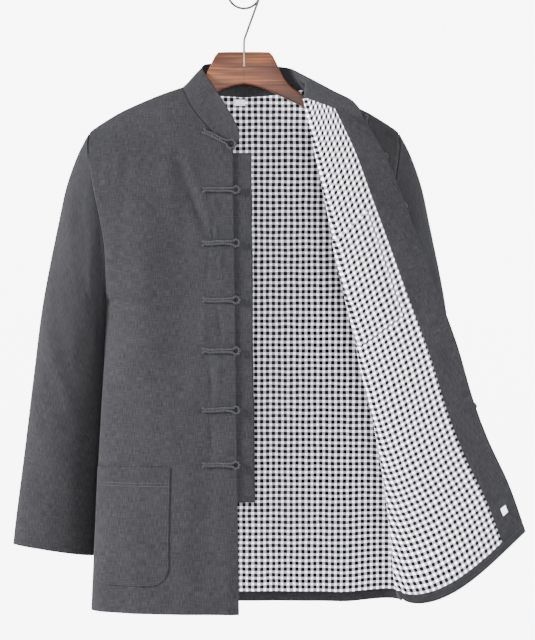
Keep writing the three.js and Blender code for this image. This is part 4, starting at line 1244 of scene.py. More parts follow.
@dataclass
class Sleeve:
    """A set-in sleeve that hangs beside the body, open at the cuff."""

    side: int
    around: int = count(104)
    rows: int = count(150)
    wall_thickness: float = 1.5
    length: float = 592
    head: float = 33  # how far down the armhole's own shape fades out
    shape: Table = field(
        default_factory=lambda: Table(
            "down outer_x outer_z inner_x inner_z half_depth centre_y tuck",
            [
                (0, 219, -221, 195, -455, 38, 0, 0),
                (33, 234, -250, 194.5, -470, 42, 0, 4),
                (80, 250, -295, 194.9, -490, 45, 0, 11),
                (131, 261, -345, 195.6, -515, 45, 1, 17),
                (244, 283, -455, 198.5, -580, 44, 4, 22),
                (358, 298, -568, 200.5, -650, 40, 8, 24),
                (471, 312, -680, 204, -732, 36, 11, 24),
                (556, 323, -765, 208, -792, 33, 13, 23),
                (592, 327, -800, 210, -819, 32, 14, 22),
            ],
        )
    )
    mm_per_degree: float = 0.9  # round the sleeve
    # Creases by angle in degrees (0 is the sleeve's outer edge, 90 its front) and distance down.
    creases: Sequence[Sequence[float]] = (
        (128, 20, 150, 210, 13, -2.9),
        (96, 6, 112, 120, 9, 1.8),
        (60, 8, 66, 110, 9, -1.6),
        (148, 60, 128, 300, 16, 2.6),
        (168, 90, 92, 300, 15, -2.4),
        (40, 170, 96, 330, 17, -2.1),
        (30, 260, 120, 380, 14, 2.1),
        (150, 300, 70, 420, 14, -2.2),
        (100, 360, 120, 592, 15, 1.9),
        (150, 380, 156, 592, 13, -1.9),
        (52, 400, 66, 592, 15, -1.4),
        (230, 60, 200, 260, 18, -2.7),
        (250, 200, 300, 380, 16, 2.6),
        (290, 320, 236, 470, 15, -2.4),
        (260, 420, 252, 592, 16, 2.1),
    )

    def build_grid(self) -> ClothGrid:
        """Works out the sleeve's grid."""
        angle = 2 * np.pi * np.arange(self.around) / self.around
        down = self.length * np.linspace(0, 1, self.rows + 1) ** 1.1
        angle, down = angle[:, None], down[None, :]
        towards = (1 + np.cos(angle)) / 2
        at = {name: self.shape.read(name, down) for name in self.shape.columns}
        x = at["inner_x"] + (at["outer_x"] - at["inner_x"]) * towards
        z = at["inner_z"] + (at["outer_z"] - at["inner_z"]) * towards
        y = at["centre_y"] - at["half_depth"] * np.sin(angle) + at["tuck"] * (1 - towards)
        head_z = TIP[1] + (UNDERARM_Z - TIP[1]) * (1 - np.cos(angle)) / 2
        head_x = half_width(head_z, self.side) + SHELL.outside + SEAM_GAP
        head_y = -ARMHOLE_HALF_DEPTH * np.sin(angle)
        own = smooth(down / self.head)
        x = head_x + (x - head_x) * own
        y = head_y + (y - head_y) * own
        z = head_z + (z - head_z) * own
        points = np.stack([self.side * x, y, z], -1)
        girth = np.linalg.norm(np.diff(points, axis=0, append=points[:1]), axis=-1)
        around = np.cumsum(girth, axis=0) - girth
        grid = ClothGrid(points, np.stack([around, -down + 0 * around], -1), float(self.side), True)
        height = self.lie(np.degrees(angle) + 0 * down, down + 0 * angle)
        grid.points += grid.normals * (height * smooth(down / 22))[..., None]
        again = ClothGrid(grid.points, grid.cloth, float(self.side), True)
        again.normals[:, 0] = np.stack([0 * angle, -np.sin(angle), np.cos(angle)], -1)[:, 0]
        return again

    def lie(self, degrees: Array, down: Array) -> Array:
        """Gives how far the creases move the cloth.

        Args:
            degrees: Angles round the sleeve.
            down: Distances down it.

        Returns:
            The heights.
        """
        height, round_mm = 0 * degrees, degrees * self.mm_per_degree
        for from_angle, from_down, to_angle, to_down, width, depth in self.creases:
            from_mm, to_mm = from_angle * self.mm_per_degree, to_angle * self.mm_per_degree
            to_cuff = to_down > self.length - 1
            crease = Crease(from_mm, from_down, to_mm, to_down, width, depth, to_cuff)
            height = height + crease.height(round_mm, down)
        lap = 0.8 * unevenness(round_mm, down, (36, 70), 51 + self.side)
        lap += 0.25 * unevenness(round_mm, down, (14, 30), 61 + self.side)
        # The pattern fades out along the outer edge, where the angle starts again.
        return height + lap * smooth(np.minimum(degrees, 360 - degrees) / 14)

    def build(self, wardrobe: Wardrobe) -> bpy.types.Object:
        """Makes the sleeve."""
        grid = self.build_grid()
        name = "right_sleeve" if self.side < 0 else "left_sleeve"
        piece = wall(f"{name}_cloth", grid, Layer(-self.wall_thickness, 0), wardrobe.sleeve)
        place(piece, Slot.SHELL, name)
        area = grid.area()
        return piece


@dataclass
class Collar:
    """The stand collar. It stands up from the neck seam and its left end falls open with the flap."""

    rows: int = count(18)
    half_thickness: float = 0.9
    lift_level: float = 0.1
    lift_shoulder: float = 0.3
    bulge: float = 1.3
    height: float = 42
    top: Table = field(
        default_factory=lambda: Table(
            "along x y z",
            [
                (0, -5.5, -38, -231),
                (10, -8, -35, -216),
                (24, -15, -32, -201),
                (45, -24, -27, -185),
                (70, -34, -20, -169),
                (100, -47, -14, -148),
                (112, -53, -10, -139),
                (127, -59, -2, -129),
                (155, -50, 11, -121),
                (190, -25, 19, -122),
                (220, 0, 21, -124),
                (255, 30, 19, -123),
                (290, 56, 9, -126),
                (310, 68, 0, -130),
                (330, 80, -11, -137),
                (350, 95, -21, -146),
                (390, 128, -33, -165),
                (425, 150, -40, -177),
                (445, 161, -42, -189),
            ],
        )
    )

    def build_grid(self, lines: Sequence[tuple[Array, Array]]) -> ClothGrid:
        """Works out the collar's grid.

        Args:
            lines: The points and normals of the neck seam's three stretches.

        Returns:
            The grid, from the right front's edge to the left's.
        """
        seam = np.concatenate([points for points, _ in lines])
        normals = np.concatenate([normals for _, normals in lines])
        keep = np.concatenate([[True], np.linalg.norm(np.diff(seam, axis=0), axis=-1) > 0.2])
        seam, normals = seam[keep], normals[keep]
        lengths = run_along(seam)
        along = lengths * self.top.key[-1] / lengths[-1]
        top = np.stack([self.top.read(name, along) for name in "xyz"], -1)
        up = (top - seam) / np.linalg.norm(top - seam, axis=-1, keepdims=True)
        lean = np.maximum(0, (normals * up).sum(-1, keepdims=True))
        foot = seam + up * (self.lift_level + self.lift_shoulder * lean)
        t = np.linspace(0, 1, self.rows + 1)[None, :, None]
        points = foot[:, None] + (top - foot)[:, None] * t
        cloth = np.stack(np.broadcast_arrays(lengths[:, None], self.height * t[..., 0]), -1)
        flat = ClothGrid(points, cloth.copy())
        wave = unevenness(cloth[..., 0], cloth[..., 1], (34, 30), 71)
        swell = self.bulge * np.sin(np.pi * t[..., 0]) * (0.5 + 0.6 * wave)
        return ClothGrid(points + flat.normals * swell[..., None], cloth.copy())

    def build(self, lines: Sequence[tuple[Array, Array]], wardrobe: Wardrobe) -> bpy.types.Object:
        """Makes the collar."""
        grid = self.build_grid(lines)
        layer = Layer(-self.half_thickness, self.half_thickness)
        piece = wall("collar_cloth", grid, layer, wardrobe.collar)
        place(piece, Slot.SHELL, "collar")
        grid.area()
        return piece


# ---------------------------------------------------------------- what lies on the panels


@dataclass(frozen=True)
class Patch:
    """A piece of cloth laid on a panel, by distance from its front edge and by height."""

    near: float
    far: float
    top: float
    bottom: float
    corner: float = 0
    flare: float = 0
    thickness: float = 1.2
    swell: float = 0
    shift: tuple[float, float] = (0.0, 0.0)  # how far the pattern is out of step with the panel's
    columns: int = 34
    rows: int = 44
    seed: int = 5

    def spots(self) -> tuple[Array, Array]:
        """Gives the patch's grid as distances and heights; its bottom corners are rounded."""
        t = np.linspace(0, 1, self.rows + 1)
        if self.corner > 0:
            t = np.sin(np.pi / 2 * t) * 0.35 + t * 0.65
        height = self.top + (self.bottom - self.top) * t
        from_bottom = np.clip(height - self.bottom, 0, None)
        inset = np.zeros_like(height)
        if self.corner > 0:
            groove_shade = np.clip(self.corner - from_bottom, 0, self.corner)
            inset = self.corner - np.sqrt(np.maximum(self.corner**2 - groove_shade**2, 0))
        near = self.near + inset
        far = self.far + self.flare * t - inset
        s = np.linspace(0, 1, self.columns + 1)[:, None]
        return near + (far - near) * s, np.broadcast_to(height, (self.columns + 1, len(t)))

    def build(
        self,
        name: str,
        panel: ClothGrid,
        outside: bool,
        material: bpy.types.Material,
    ) -> tuple[bpy.types.Object, ClothGrid]:
        """Makes the patch.

        Args:
            name: The piece's name.
            panel: The panel that it lies on.
            outside: Whether it lies on the panel's outside.
            material: Its cloth.

        Returns:
            The piece and its grid.
        """
        across, down = self.spots()
        points, normals = locate(panel, across, down)
        grid = ClothGrid(points, np.stack([across + self.shift[0], down + self.shift[1]], -1), 1.0)
        grid.normals = normals
        edge = np.minimum(np.arange(self.columns + 1), np.arange(self.columns, -1, -1)) / self.columns
        raised = smooth(edge * 5)[:, None] * smooth(np.linspace(1, 0, self.rows + 1) * 5)[None, :]
        puff = raised * self.swell * (0.7 + 0.6 * unevenness(across, down, (26, 30), self.seed))
        way = 1.0 if outside else -1.0
        grid.points = grid.points + normals * (way * puff)[..., None]
        if outside:
            layer = Layer(SHELL.outside + SEAM_GAP, SHELL.outside + SEAM_GAP + self.thickness)
        else:
            layer = Layer(LINING.inside - SEAM_GAP - self.thickness, LINING.inside - SEAM_GAP)
        return wall(name, grid, layer, material, drawn_in=0.3), grid

    def at(self, grid: ClothGrid, s: Array, t: Array) -> tuple[Array, Array]:
        """Reads the patch's points and normals at shares of its columns and rows."""
        a, b = np.clip(s, 0, 1) * self.columns, np.clip(t, 0, 1) * self.rows
        return bilinear(grid.points, a, b), bilinear(grid.normals, a, b)

    def round_edge(self, grid: ClothGrid, inset: float) -> tuple[Array, Array]:
        """Gives a line down one side, along the bottom and up the other.

        Args:
            grid: The patch's grid.
            inset: How far inside its edge.

        Returns:
            The line's points and normals.
        """
        s_in = inset / abs(self.far - self.near)
        t_in = inset / (self.top - self.bottom)
        run = np.linspace(0.01, 1, 60)
        side = run * (1 - t_in)
        bottom = np.linspace(s_in, 1 - s_in, 30)
        s = np.concatenate([np.full(60, s_in), bottom, np.full(60, 1 - s_in)])
        t = np.concatenate([side, np.full(30, 1 - t_in), side[::-1]])
        return self.at(grid, s, t)

    def across_at(self, grid: ClothGrid, down: float, inset: float) -> tuple[Array, Array]:
        """Gives a line across the patch.

        Args:
            grid: The patch's grid.
            down: How far below its top.
            inset: How far inside its sides.

        Returns:
            The line's points and normals.
        """
        s_in = inset / abs(self.far - self.near)
        heights = grid.cloth[0, :, 1] - self.shift[1]
        t = np.interp(-(self.top - down), -heights, np.linspace(0, 1, self.rows + 1))
        s = np.linspace(s_in, 1 - s_in, 50)
        return self.at(grid, s, np.full(50, t))


POCKET = Patch(97, 216, -688, -852, corner=28, swell=0.8)
INNER_POCKET = Patch(58, 120, -365, -520, flare=13, swell=1.8, shift=(2.4, 2.0))
SIZE_LABEL = Patch(1.5, -15, -170.5, -179, thickness=0.8, columns=12, rows=8)
FACING_TAG = Patch(16, 25, -835, -846, thickness=0.8, columns=8, rows=8)


@dataclass(frozen=True)
class UnderPlacket:
    """The strip behind the right front's edge. It shows beside the frogs' rings."""

    hidden_x: float = -40
    top_x: float = 10.8
    hem_x: float = 15.8
    top_z: float = -250.5
    hem_z: float = -736
    clearance: float = 0.6
    thickness: float = 1.2
    columns: int = 18
    rows: int = 150

    def build(self, wardrobe: Wardrobe) -> bpy.types.Object:
        """Makes the strip."""
        t = np.linspace(0, 1, self.rows + 1)[None, :]
        s = np.linspace(0, 1, self.columns + 1)[:, None]
        z = self.top_z + (self.hem_z - self.top_z) * t + 0 * s
        free_x = self.top_x + (self.hem_x - self.top_x) * t + 0.7 * unevenness(z, z, (40, 55), 83)
        x = free_x + (self.hidden_x - free_x) * s
        y = -body_depth("front", x, z) + 0.4 * unevenness(x, z, (14, 24), 81)
        grid = ClothGrid(np.stack([x, y, z], -1), np.stack([-x, z], -1))
        outside = LINING.inside - self.clearance
        piece = wall("under_placket_cloth", grid, Layer(outside - self.thickness, outside), wardrobe.shell)
        place(piece, Slot.SHELL, "under_placket")
        return piece


# ---------------------------------------------------------------- cords, thread and stitches


@dataclass
class Strand:
    """A round cord or thread along a line of points, with closed rounded ends or joined in a ring."""

    line: Array
    radius: float
    sides: int = 10
    closed: bool = False
    blunt: float = 0.0

    def mesh(self) -> tuple[Array, list[list[int]], Array]:
        """Gives the strand's corners, faces and places along the flat cord."""
        line = self.line
        if self.closed:
            tangent = np.roll(line, -1, axis=0) - np.roll(line, 1, axis=0)
        else:
            tangent = np.gradient(line, axis=0)
        tangent = unit(tangent)
        axis = np.array([0.0, -1.0, 0.0]) if abs(tangent[0, 1]) < 0.9 else np.array([1.0, 0.0, 0.0])
        normal = np.empty_like(line)
        for k, way in enumerate(tangent):
            axis = axis - way * axis.dot(way)
            axis = unit(axis)
            normal[k] = axis
        side = np.cross(tangent, normal)
        many = len(line)
        if self.closed:
            # The frame is turned a little at each step, so that the ring's two ends meet.
            miss = math.atan2(normal[0].dot(side[-1]), normal[0].dot(normal[-1]))
            turn = (miss * np.arange(many) / many)[:, None]
            c, s = np.cos(turn), np.sin(turn)
            normal, side = c * normal + s * side, c * side - s * normal
        radius = np.full(many, self.radius)
        if not self.closed and self.blunt > 0:
            radius[0] = radius[-1] = self.radius * self.blunt
        angle = 2 * np.pi * np.arange(self.sides) / self.sides
        c, s = np.cos(angle)[None, :, None], np.sin(angle)[None, :, None]
        ring = c * normal[:, None] + s * side[:, None]
        corners = (line[:, None] + ring * radius[:, None, None]).reshape(-1, 3)
        around, along = np.broadcast_arrays(angle * self.radius, run_along(line)[:, None])
        places = np.stack([around, along], -1).reshape(-1, 2)
        faces = []
        for k in range(many if self.closed else many - 1):
            here, there = k * self.sides, (k + 1) % many * self.sides
            for i in range(self.sides):
                j = (i + 1) % self.sides
                faces.append([here + i, here + j, there + j, there + i])
        if not self.closed:
            faces.append(list(reversed(range(self.sides))))
            faces.append([(many - 1) * self.sides + i for i in range(self.sides)])
        return corners, faces, places


@dataclass
class Barrel(Strand):
    """A round body along a straight line, with its own radius at each point."""

    radii: Array = field(default_factory=lambda: np.ones(1))

    def mesh(self) -> tuple[Array, list[list[int]], Array]:
        """Gives the body's corners, faces and places along it."""
        corners, faces, places = super().mesh()
        centre = np.repeat(self.line, self.sides, axis=0)
        radii = np.repeat(self.radii, self.sides)[:, None]
        return centre + (corners - centre) * radii, faces, places


def bundle(name: str, strands: Sequence[Strand], material: bpy.types.Material) -> bpy.types.Object:
    """Makes one object of several strands.

    Args:
        name: The object's name.
        strands: The cords or threads.
        material: What they are made of.

    Returns:
        The object.
    """
    corners, faces, places = [], [], []
    start = 0
    for strand in strands:
        c, f, p = strand.mesh()
        corners.append(c)
        places.append(p)
        faces += [[v + start for v in face] for face in f]
        start += len(c)
    piece = link(name, np.concatenate(corners), faces, [material])
    set_cloth_map(piece, np.concatenate(places))
    fix_normals(piece)
    return piece


def through(points: Sequence[Sequence[float]], step: float = 1.0) -> Array:
    """Gives evenly spaced points on a smooth line through a few.

    Args:
        points: The points, in order.
        step: The spacing.

    Returns:
        The line.
    """
    p = np.array(points, float)
    length = np.concatenate([[0], np.cumsum(np.sqrt(np.linalg.norm(np.diff(p, axis=0), axis=-1)))])
    table = Table("at x y z", [[at, *row] for at, row in zip(length, p)])
    fine = np.linspace(0, length[-1], 40 * len(p))
    dense = np.stack([table.read(name, fine) for name in "xyz"], -1)
    run = run_along(dense)
    even = np.linspace(0, run[-1], max(4, int(run[-1] / step)))
    return np.stack([np.interp(even, run, dense[:, k]) for k in range(3)], -1)


@dataclass(frozen=True)
class Stitches:
    """A row of machine stitches: short threads that dive into the cloth at each end."""

    length: float = 2.1
    gap: float = 0.9
    radius: float = 0.24

    def along(self, line: Array, normals: Array) -> list[Strand]:
        """Gives the stitches along a line on the cloth's face.

        Args:
            line: Points on the face.
            normals: The face's normals there.

        Returns:
            One strand a stitch.
        """
        run = run_along(line)
        strands = []
        pitch = self.length + self.gap
        arch = np.array([-0.9, 0.35, 0.6, 0.35, -0.9]) * self.radius
        for number in range(int(run[-1] / pitch)):
            at = number * pitch + self.gap / 2 + np.linspace(0, self.length, 5)
            centre = np.stack([np.interp(at, run, line[:, k]) for k in range(3)], -1)
            up = np.stack([np.interp(at, run, normals[:, k]) for k in range(3)], -1)
            strands.append(Strand(centre + up * arch[:, None], self.radius, 5, blunt=0.5))
        return strands


# ---------------------------------------------------------------- frog fastenings


@dataclass(frozen=True)
class Frog:
    """A frog fastening of covered cord: a loop on the right front, a ball knot on the left."""

    cord_radius: float = 1.5
    cord_gap: float = 0.35
    ring_radius: float = 4.7
    top_ring_radius: float = 6.0  # the top loop is left wider, to go over the collar's knot
    ring_opening: float = 150
    neck: float = 13
    flare: float = 1.5
    bar_length: float = 46
    ball_radius: float = 4.8
    braid_radius: float = 1.15
    leads: int = 3
    bights: int = 4
    tack_radius: float = 0.22

    def loop(
        self,
        number: int,
        start: tuple[float, float],
        ring: tuple[float, float],
        lift: float,
        wardrobe: Wardrobe,
    ) -> None:
        """Makes a loop: two cords side by side that part in a ring, and the tacks that hold them.

        Args:
            number: Which loop, from the top.
            start: The bar's free end, as x and z.
            ring: The ring's middle, as x and z.
            lift: How far the loop stands off the cloth.
            wardrobe: The materials.
        """
        run = np.array(ring) - np.array(start)
        length = float(np.linalg.norm(run))
        ahead = run / length
        beside = np.array([-ahead[1], ahead[0]])
        half = self.cord_radius + self.cord_gap / 2
        height = SHELL.outside + SEAM_GAP + self.cord_radius + lift
        sway = np.random.default_rng(100 + number).uniform(-0.7, 0.7, 5)
        radius = self.top_ring_radius if number == 1 else self.ring_radius

        def spot(forwards: float, sideways: float) -> list[float]:
            """Gives a point over the cloth, by distance along the bar and to its side."""
            x = start[0] + ahead[0] * forwards + beside[0] * sideways
            z = start[1] + ahead[1] * forwards + beside[1] * sideways
            y = -float(body_depth("front", min(x, -front_edge_x(z)), z)) - height
            return [x, y, z]

        def bar(way: float) -> list[list[float]]:
            """Gives the points of the cord on one side."""
            offsets = [half + self.flare, half, half, half, half]
            stations = [0, 5, 12, 22, length - self.neck]
            return [spot(at, way * off + aside) for at, off, aside in zip(stations, offsets, sway)]

        around = []
        for t in np.linspace(0, 1, 11):
            angle = math.radians(self.ring_opening * (1 - 2 * t))
            around.append(spot(length + radius * math.cos(angle), radius * math.sin(angle)))
        line = through(bar(1) + around + bar(-1)[::-1], 0.9)
        piece = bundle(
            f"frog_loop_{number}_cord", [Strand(line, self.cord_radius, 12, blunt=0.72)], wardrobe.cord
        )
        place(piece, Slot.CORD, f"frog_loop_{number}")
        # Whip stitches go over both cords and down into the cloth on either side.
        sides = [-half * 2.05, -half, half, half * 2.05]
        heights = np.array([0.9, -1.02, -1.02, 0.9]) * self.cord_radius
        tacks = []
        for at in (3, 15, 27, length - self.neck - 4):
            tack = np.array([spot(at, side) for side in sides])
            tack[:, 1] += heights
            tacks.append(Strand(through(tack, 0.6), self.tack_radius, 5, blunt=0.6))
        place(bundle(f"frog_loop_{number}_tacks", tacks, wardrobe.thread), Slot.CORD)

    def braid(self, centre: Array, pole: Array) -> Strand:
        """Gives the ball's woven cord: a ring that runs over and under itself round the ball.

        Args:
            centre: The ball's middle.
            pole: The way from the edge into the cloth, round which the cord runs.

        Returns:
            The cord.
        """
        t = np.linspace(0, 2 * np.pi, 260, endpoint=False)
        longitude = self.leads * t
        latitude = 1.12 * np.sin(self.bights * t)
        wave = np.cos(self.bights * (self.leads - 1) * t)
        radius = self.ball_radius - self.braid_radius * 1.15 + 0.55 * wave
        side = unit(np.cross(pole, [0.3, 0.4, 0.87]))
        other = np.cross(pole, side)
        flat = np.cos(latitude) * radius
        line = (
            centre
            + np.outer(flat * np.cos(longitude), side)
            + np.outer(flat * np.sin(longitude), other)
            + np.outer(radius * np.sin(latitude), pole)
        )
        return Strand(line, self.braid_radius, 8, closed=True)

    def knot(
        self, number: int, panel: ClothGrid, at: tuple[float, float, float, float], wardrobe: Wardrobe
    ) -> None:
        """Makes a ball knot at the left front's edge, and its bar on the cloth behind.

        Args:
            number: Which knot, from the top.
            panel: The left front.
            at: Its height, how far out of the edge and above the cloth's middle the ball sits, and how
                far it has slipped along the edge.
            wardrobe: The materials.
        """
        down, out, lift, slip = at
        half = self.cord_radius + self.cord_gap / 2
        places, normals = locate(panel, np.array([0.0, 12.0, 0.0]), np.array([down, down, down - 12]))
        edge, edge_normal = places[0], normals[0]
        inwards, downwards = unit(places[1:] - edge)
        height = SHELL.outside + SEAM_GAP + self.cord_radius

        def beyond(distance: float, raised: float, slipped: float = 0) -> Array:
            """Gives a point out of the edge, over the cloth and along the edge by so much."""
            return edge - inwards * distance + edge_normal * raised + downwards * slipped

        centre = beyond(out, lift, slip)
        reach = np.linspace(-3.1, 3.1, 9)
        radii = np.sqrt(np.maximum(0.05, 1 - (reach / 3.3) ** 2)) * 3.2
        core = Barrel(centre + np.outer(reach, inwards), 1.0, 14, radii=radii)
        strands = [self.braid(centre, inwards), core]
        on_cloth, _ = locate(panel, np.array([2.0]), np.array([down]))
        for way in (1, -1):
            across = np.array([2.0, 5.5, 10.0, self.bar_length / 2, self.bar_length - 8, self.bar_length])
            spread = np.array([half, half, half, half, half, half + self.flare]) * way
            points, lifts = locate(panel, across, down + spread)
            points = points + lifts * height
            beside = unit(points[0] - on_cloth[0] - lifts[0] * height) * half
            route = [beyond(out - 1, lift, slip) + beside * 0.3]
            if out > 1.8:
                route.append(beyond(1.8, height) + beside)
            strands.append(Strand(through([*route, *points[1:]], 1.0), self.cord_radius, 10, blunt=0.72))
        piece = bundle(f"frog_knot_{number}_cord", strands, wardrobe.cord)
        place(piece, Slot.CORD, f"frog_knot_{number}")


# ---------------------------------------------------------------- the hanger


@dataclass(frozen=True)
class Hanger:
    """A flat wooden hanger in two arms that meet under the hook."""

    stations: Sequence[Sequence[float]] = (
        # x from the middle, top, bottom, half thickness
        (0.15, -106, -151, 6.5),
        (12, -106, -153, 6.5),
        (24, -106, -156.5, 6.5),
        (36, -106.4, -161, 6.5),
        (41, -112, -163, 6.5),
        (47, -124, -166, 6.5),
        (56, -142.5, -170, 6.2),
        (68, -155, -176, 5.9),
        (83, -167.5, -182.5, 5.6),
        (100, -173, -190, 6.1),
        (121, -178, -197, 6.5),
        (150, -186, -206, 6.5),
        (171, -193.7, -211.7, 5.5),
        (183, -200.3, -218.3, 5.5),
        (194, -207.2, -225, 5.5),
        (201, -212, -225.5, 4.9),
        (206, -218.2, -227.4, 3.9),
    )
    rounding: float = 2.6
    wire_radius: float = 1.6
    foot_z: float = -105.7
    slant: float = 20.4
    hook_radius: float = 23
    sweep: float = 225

    def arm(self, side: int, wardrobe: Wardrobe) -> bpy.types.Object:
        """Models one arm: a block drawn out along the stations, its edges rounded over.

        Args:
            side: -1 for the right arm, 1 for the left.
            wardrobe: The materials.

        Returns:
            The arm.
        """
        bpy.ops.object.select_all(action="DESELECT")
        bpy.ops.mesh.primitive_cube_add(size=1)
        piece = bpy.context.active_object
        # Faces are chosen in code, and a new primitive's corners are all selected.
        bpy.context.tool_settings.mesh_select_mode = (False, False, True)
        piece.name = "hanger_right_arm_wood" if side < 0 else "hanger_left_arm_wood"
        first, second = self.stations[0], self.stations[1]
        for vertex in piece.data.vertices:
            x, top, bottom, thick = second if vertex.co.x > 0 else first
            z = top if vertex.co.z > 0 else bottom
            vertex.co = Vector((x, thick if vertex.co.y > 0 else -thick, z)) * MM
        for before, after in zip(self.stations[1:], self.stations[2:]):
            self.draw_out(piece, before, after)
        self.round_over(piece)
        if side < 0:
            for vertex in piece.data.vertices:
                vertex.co.x = -vertex.co.x
        fix_normals(piece)
        piece.data.materials.append(wardrobe.wood)
        place(piece, Slot.WOOD, "hanger_right_arm" if side < 0 else "hanger_left_arm")
        return piece

    def draw_out(self, piece: bpy.types.Object, before: Sequence[float], after: Sequence[float]) -> None:
        """Extrudes the arm's end from one station to the next.

        Args:
            piece: The arm so far.
            before: The station where it ends.
            after: The next one.
        """
        for polygon in piece.data.polygons:
            ends = [piece.data.vertices[v].co.x for v in polygon.vertices]
            polygon.select = all(abs(x - before[0] * MM) < NEAR for x in ends)
        for edge in piece.data.edges:
            edge.select = False
        bpy.ops.object.mode_set(mode="EDIT")
        bpy.ops.mesh.select_mode(type="FACE")
        middle_before, middle_after = (before[1] + before[2]) / 2, (after[1] + after[2]) / 2
        move = ((after[0] - before[0]) * MM, 0, (middle_after - middle_before) * MM)
        bpy.ops.mesh.extrude_region_move(TRANSFORM_OT_translate={"value": move})
        scale = (1, after[3] / before[3], (after[1] - after[2]) / (before[1] - before[2]))
        bpy.ops.transform.resize(
            value=scale, orient_type="GLOBAL", center_override=(after[0] * MM, 0, middle_after * MM)
        )
        bpy.ops.object.mode_set(mode="OBJECT")

    def round_over(self, piece: bpy.types.Object) -> None:
        """Rounds the long edges and the tip, but no edge across the arm before the tip."""
        select_only(piece)
        tip = self.stations[-1][0] * MM
        weights = piece.data.attributes.new("bevel_weight_edge", "FLOAT", "EDGE")
        for edge in piece.data.edges:
            x, other_x = (piece.data.vertices[v].co.x for v in edge.vertices)
            across = abs(x - other_x) < NEAR and x < tip - NEAR
            weights.data[edge.index].value = 0.0 if across else 1.0
        bevel = piece.modifiers.new("rounded_edges", "BEVEL")
        bevel.width = self.rounding * MM
        bevel.segments = 3
        bevel.limit_method = "WEIGHT"
        bpy.ops.object.modifier_apply(modifier=bevel.name)
        bpy.ops.object.shade_smooth_by_angle(angle=math.radians(40))

    def hook(self, wardrobe: Wardrobe) -> bpy.types.Object:
        """Models the hook: a wire's end drawn up from the wood and spun round the rail."""
        bpy.ops.object.select_all(action="DESELECT")
        bpy.ops.mesh.primitive_circle_add(vertices=16, radius=self.wire_radius * MM, fill_type="NGON")
        piece = bpy.context.active_object
        piece.name = "hanger_hook_wire"
        for vertex in piece.data.vertices:
            vertex.co.z += self.foot_z * MM
        centre_z = self.wire_radius - self.hook_radius
        slant = math.radians(self.slant)
        arc_foot = (self.hook_radius * math.cos(slant), centre_z - self.hook_radius * math.sin(slant))
        ways = [(0, -97), (0, -92), (0.3, -89), (1.0, -86)]
        bend_x, bend_z = ways[-1]
        run_x, run_z = arc_foot[0] - bend_x, arc_foot[1] - bend_z
        ways += [(bend_x + run_x * t, bend_z + run_z * t) for t in (0.12, 0.3, 0.6, 0.9, 1.0)]
        bpy.ops.object.mode_set(mode="EDIT")
        bpy.ops.mesh.select_all(action="SELECT")
        x, z, lean = 0.0, self.foot_z, 0.0
        for next_x, next_z in ways:
            move = ((next_x - x) * MM, 0, (next_z - z) * MM)
            bpy.ops.mesh.extrude_region_move(TRANSFORM_OT_translate={"value": move})
            wanted = math.atan2(next_x - x, next_z - z)
            bpy.ops.transform.rotate(
                value=-(wanted - lean),
                orient_axis="Y",
                orient_type="GLOBAL",
                center_override=(next_x * MM, 0, next_z * MM),
            )
            x, z, lean = next_x, next_z, wanted
        bpy.ops.mesh.spin(
            steps=44, angle=-math.radians(self.sweep), center=(0, 0, centre_z * MM), axis=(0, 1, 0)
        )
        bpy.ops.object.mode_set(mode="OBJECT")
        fix_normals(piece)
        select_only(piece)
        bpy.ops.object.shade_smooth_by_angle(angle=math.radians(50))
        piece.data.materials.append(wardrobe.wire)
        place(piece, Slot.WIRE, "hanger_hook")
        return piece


# ---------------------------------------------------------------- the jacket


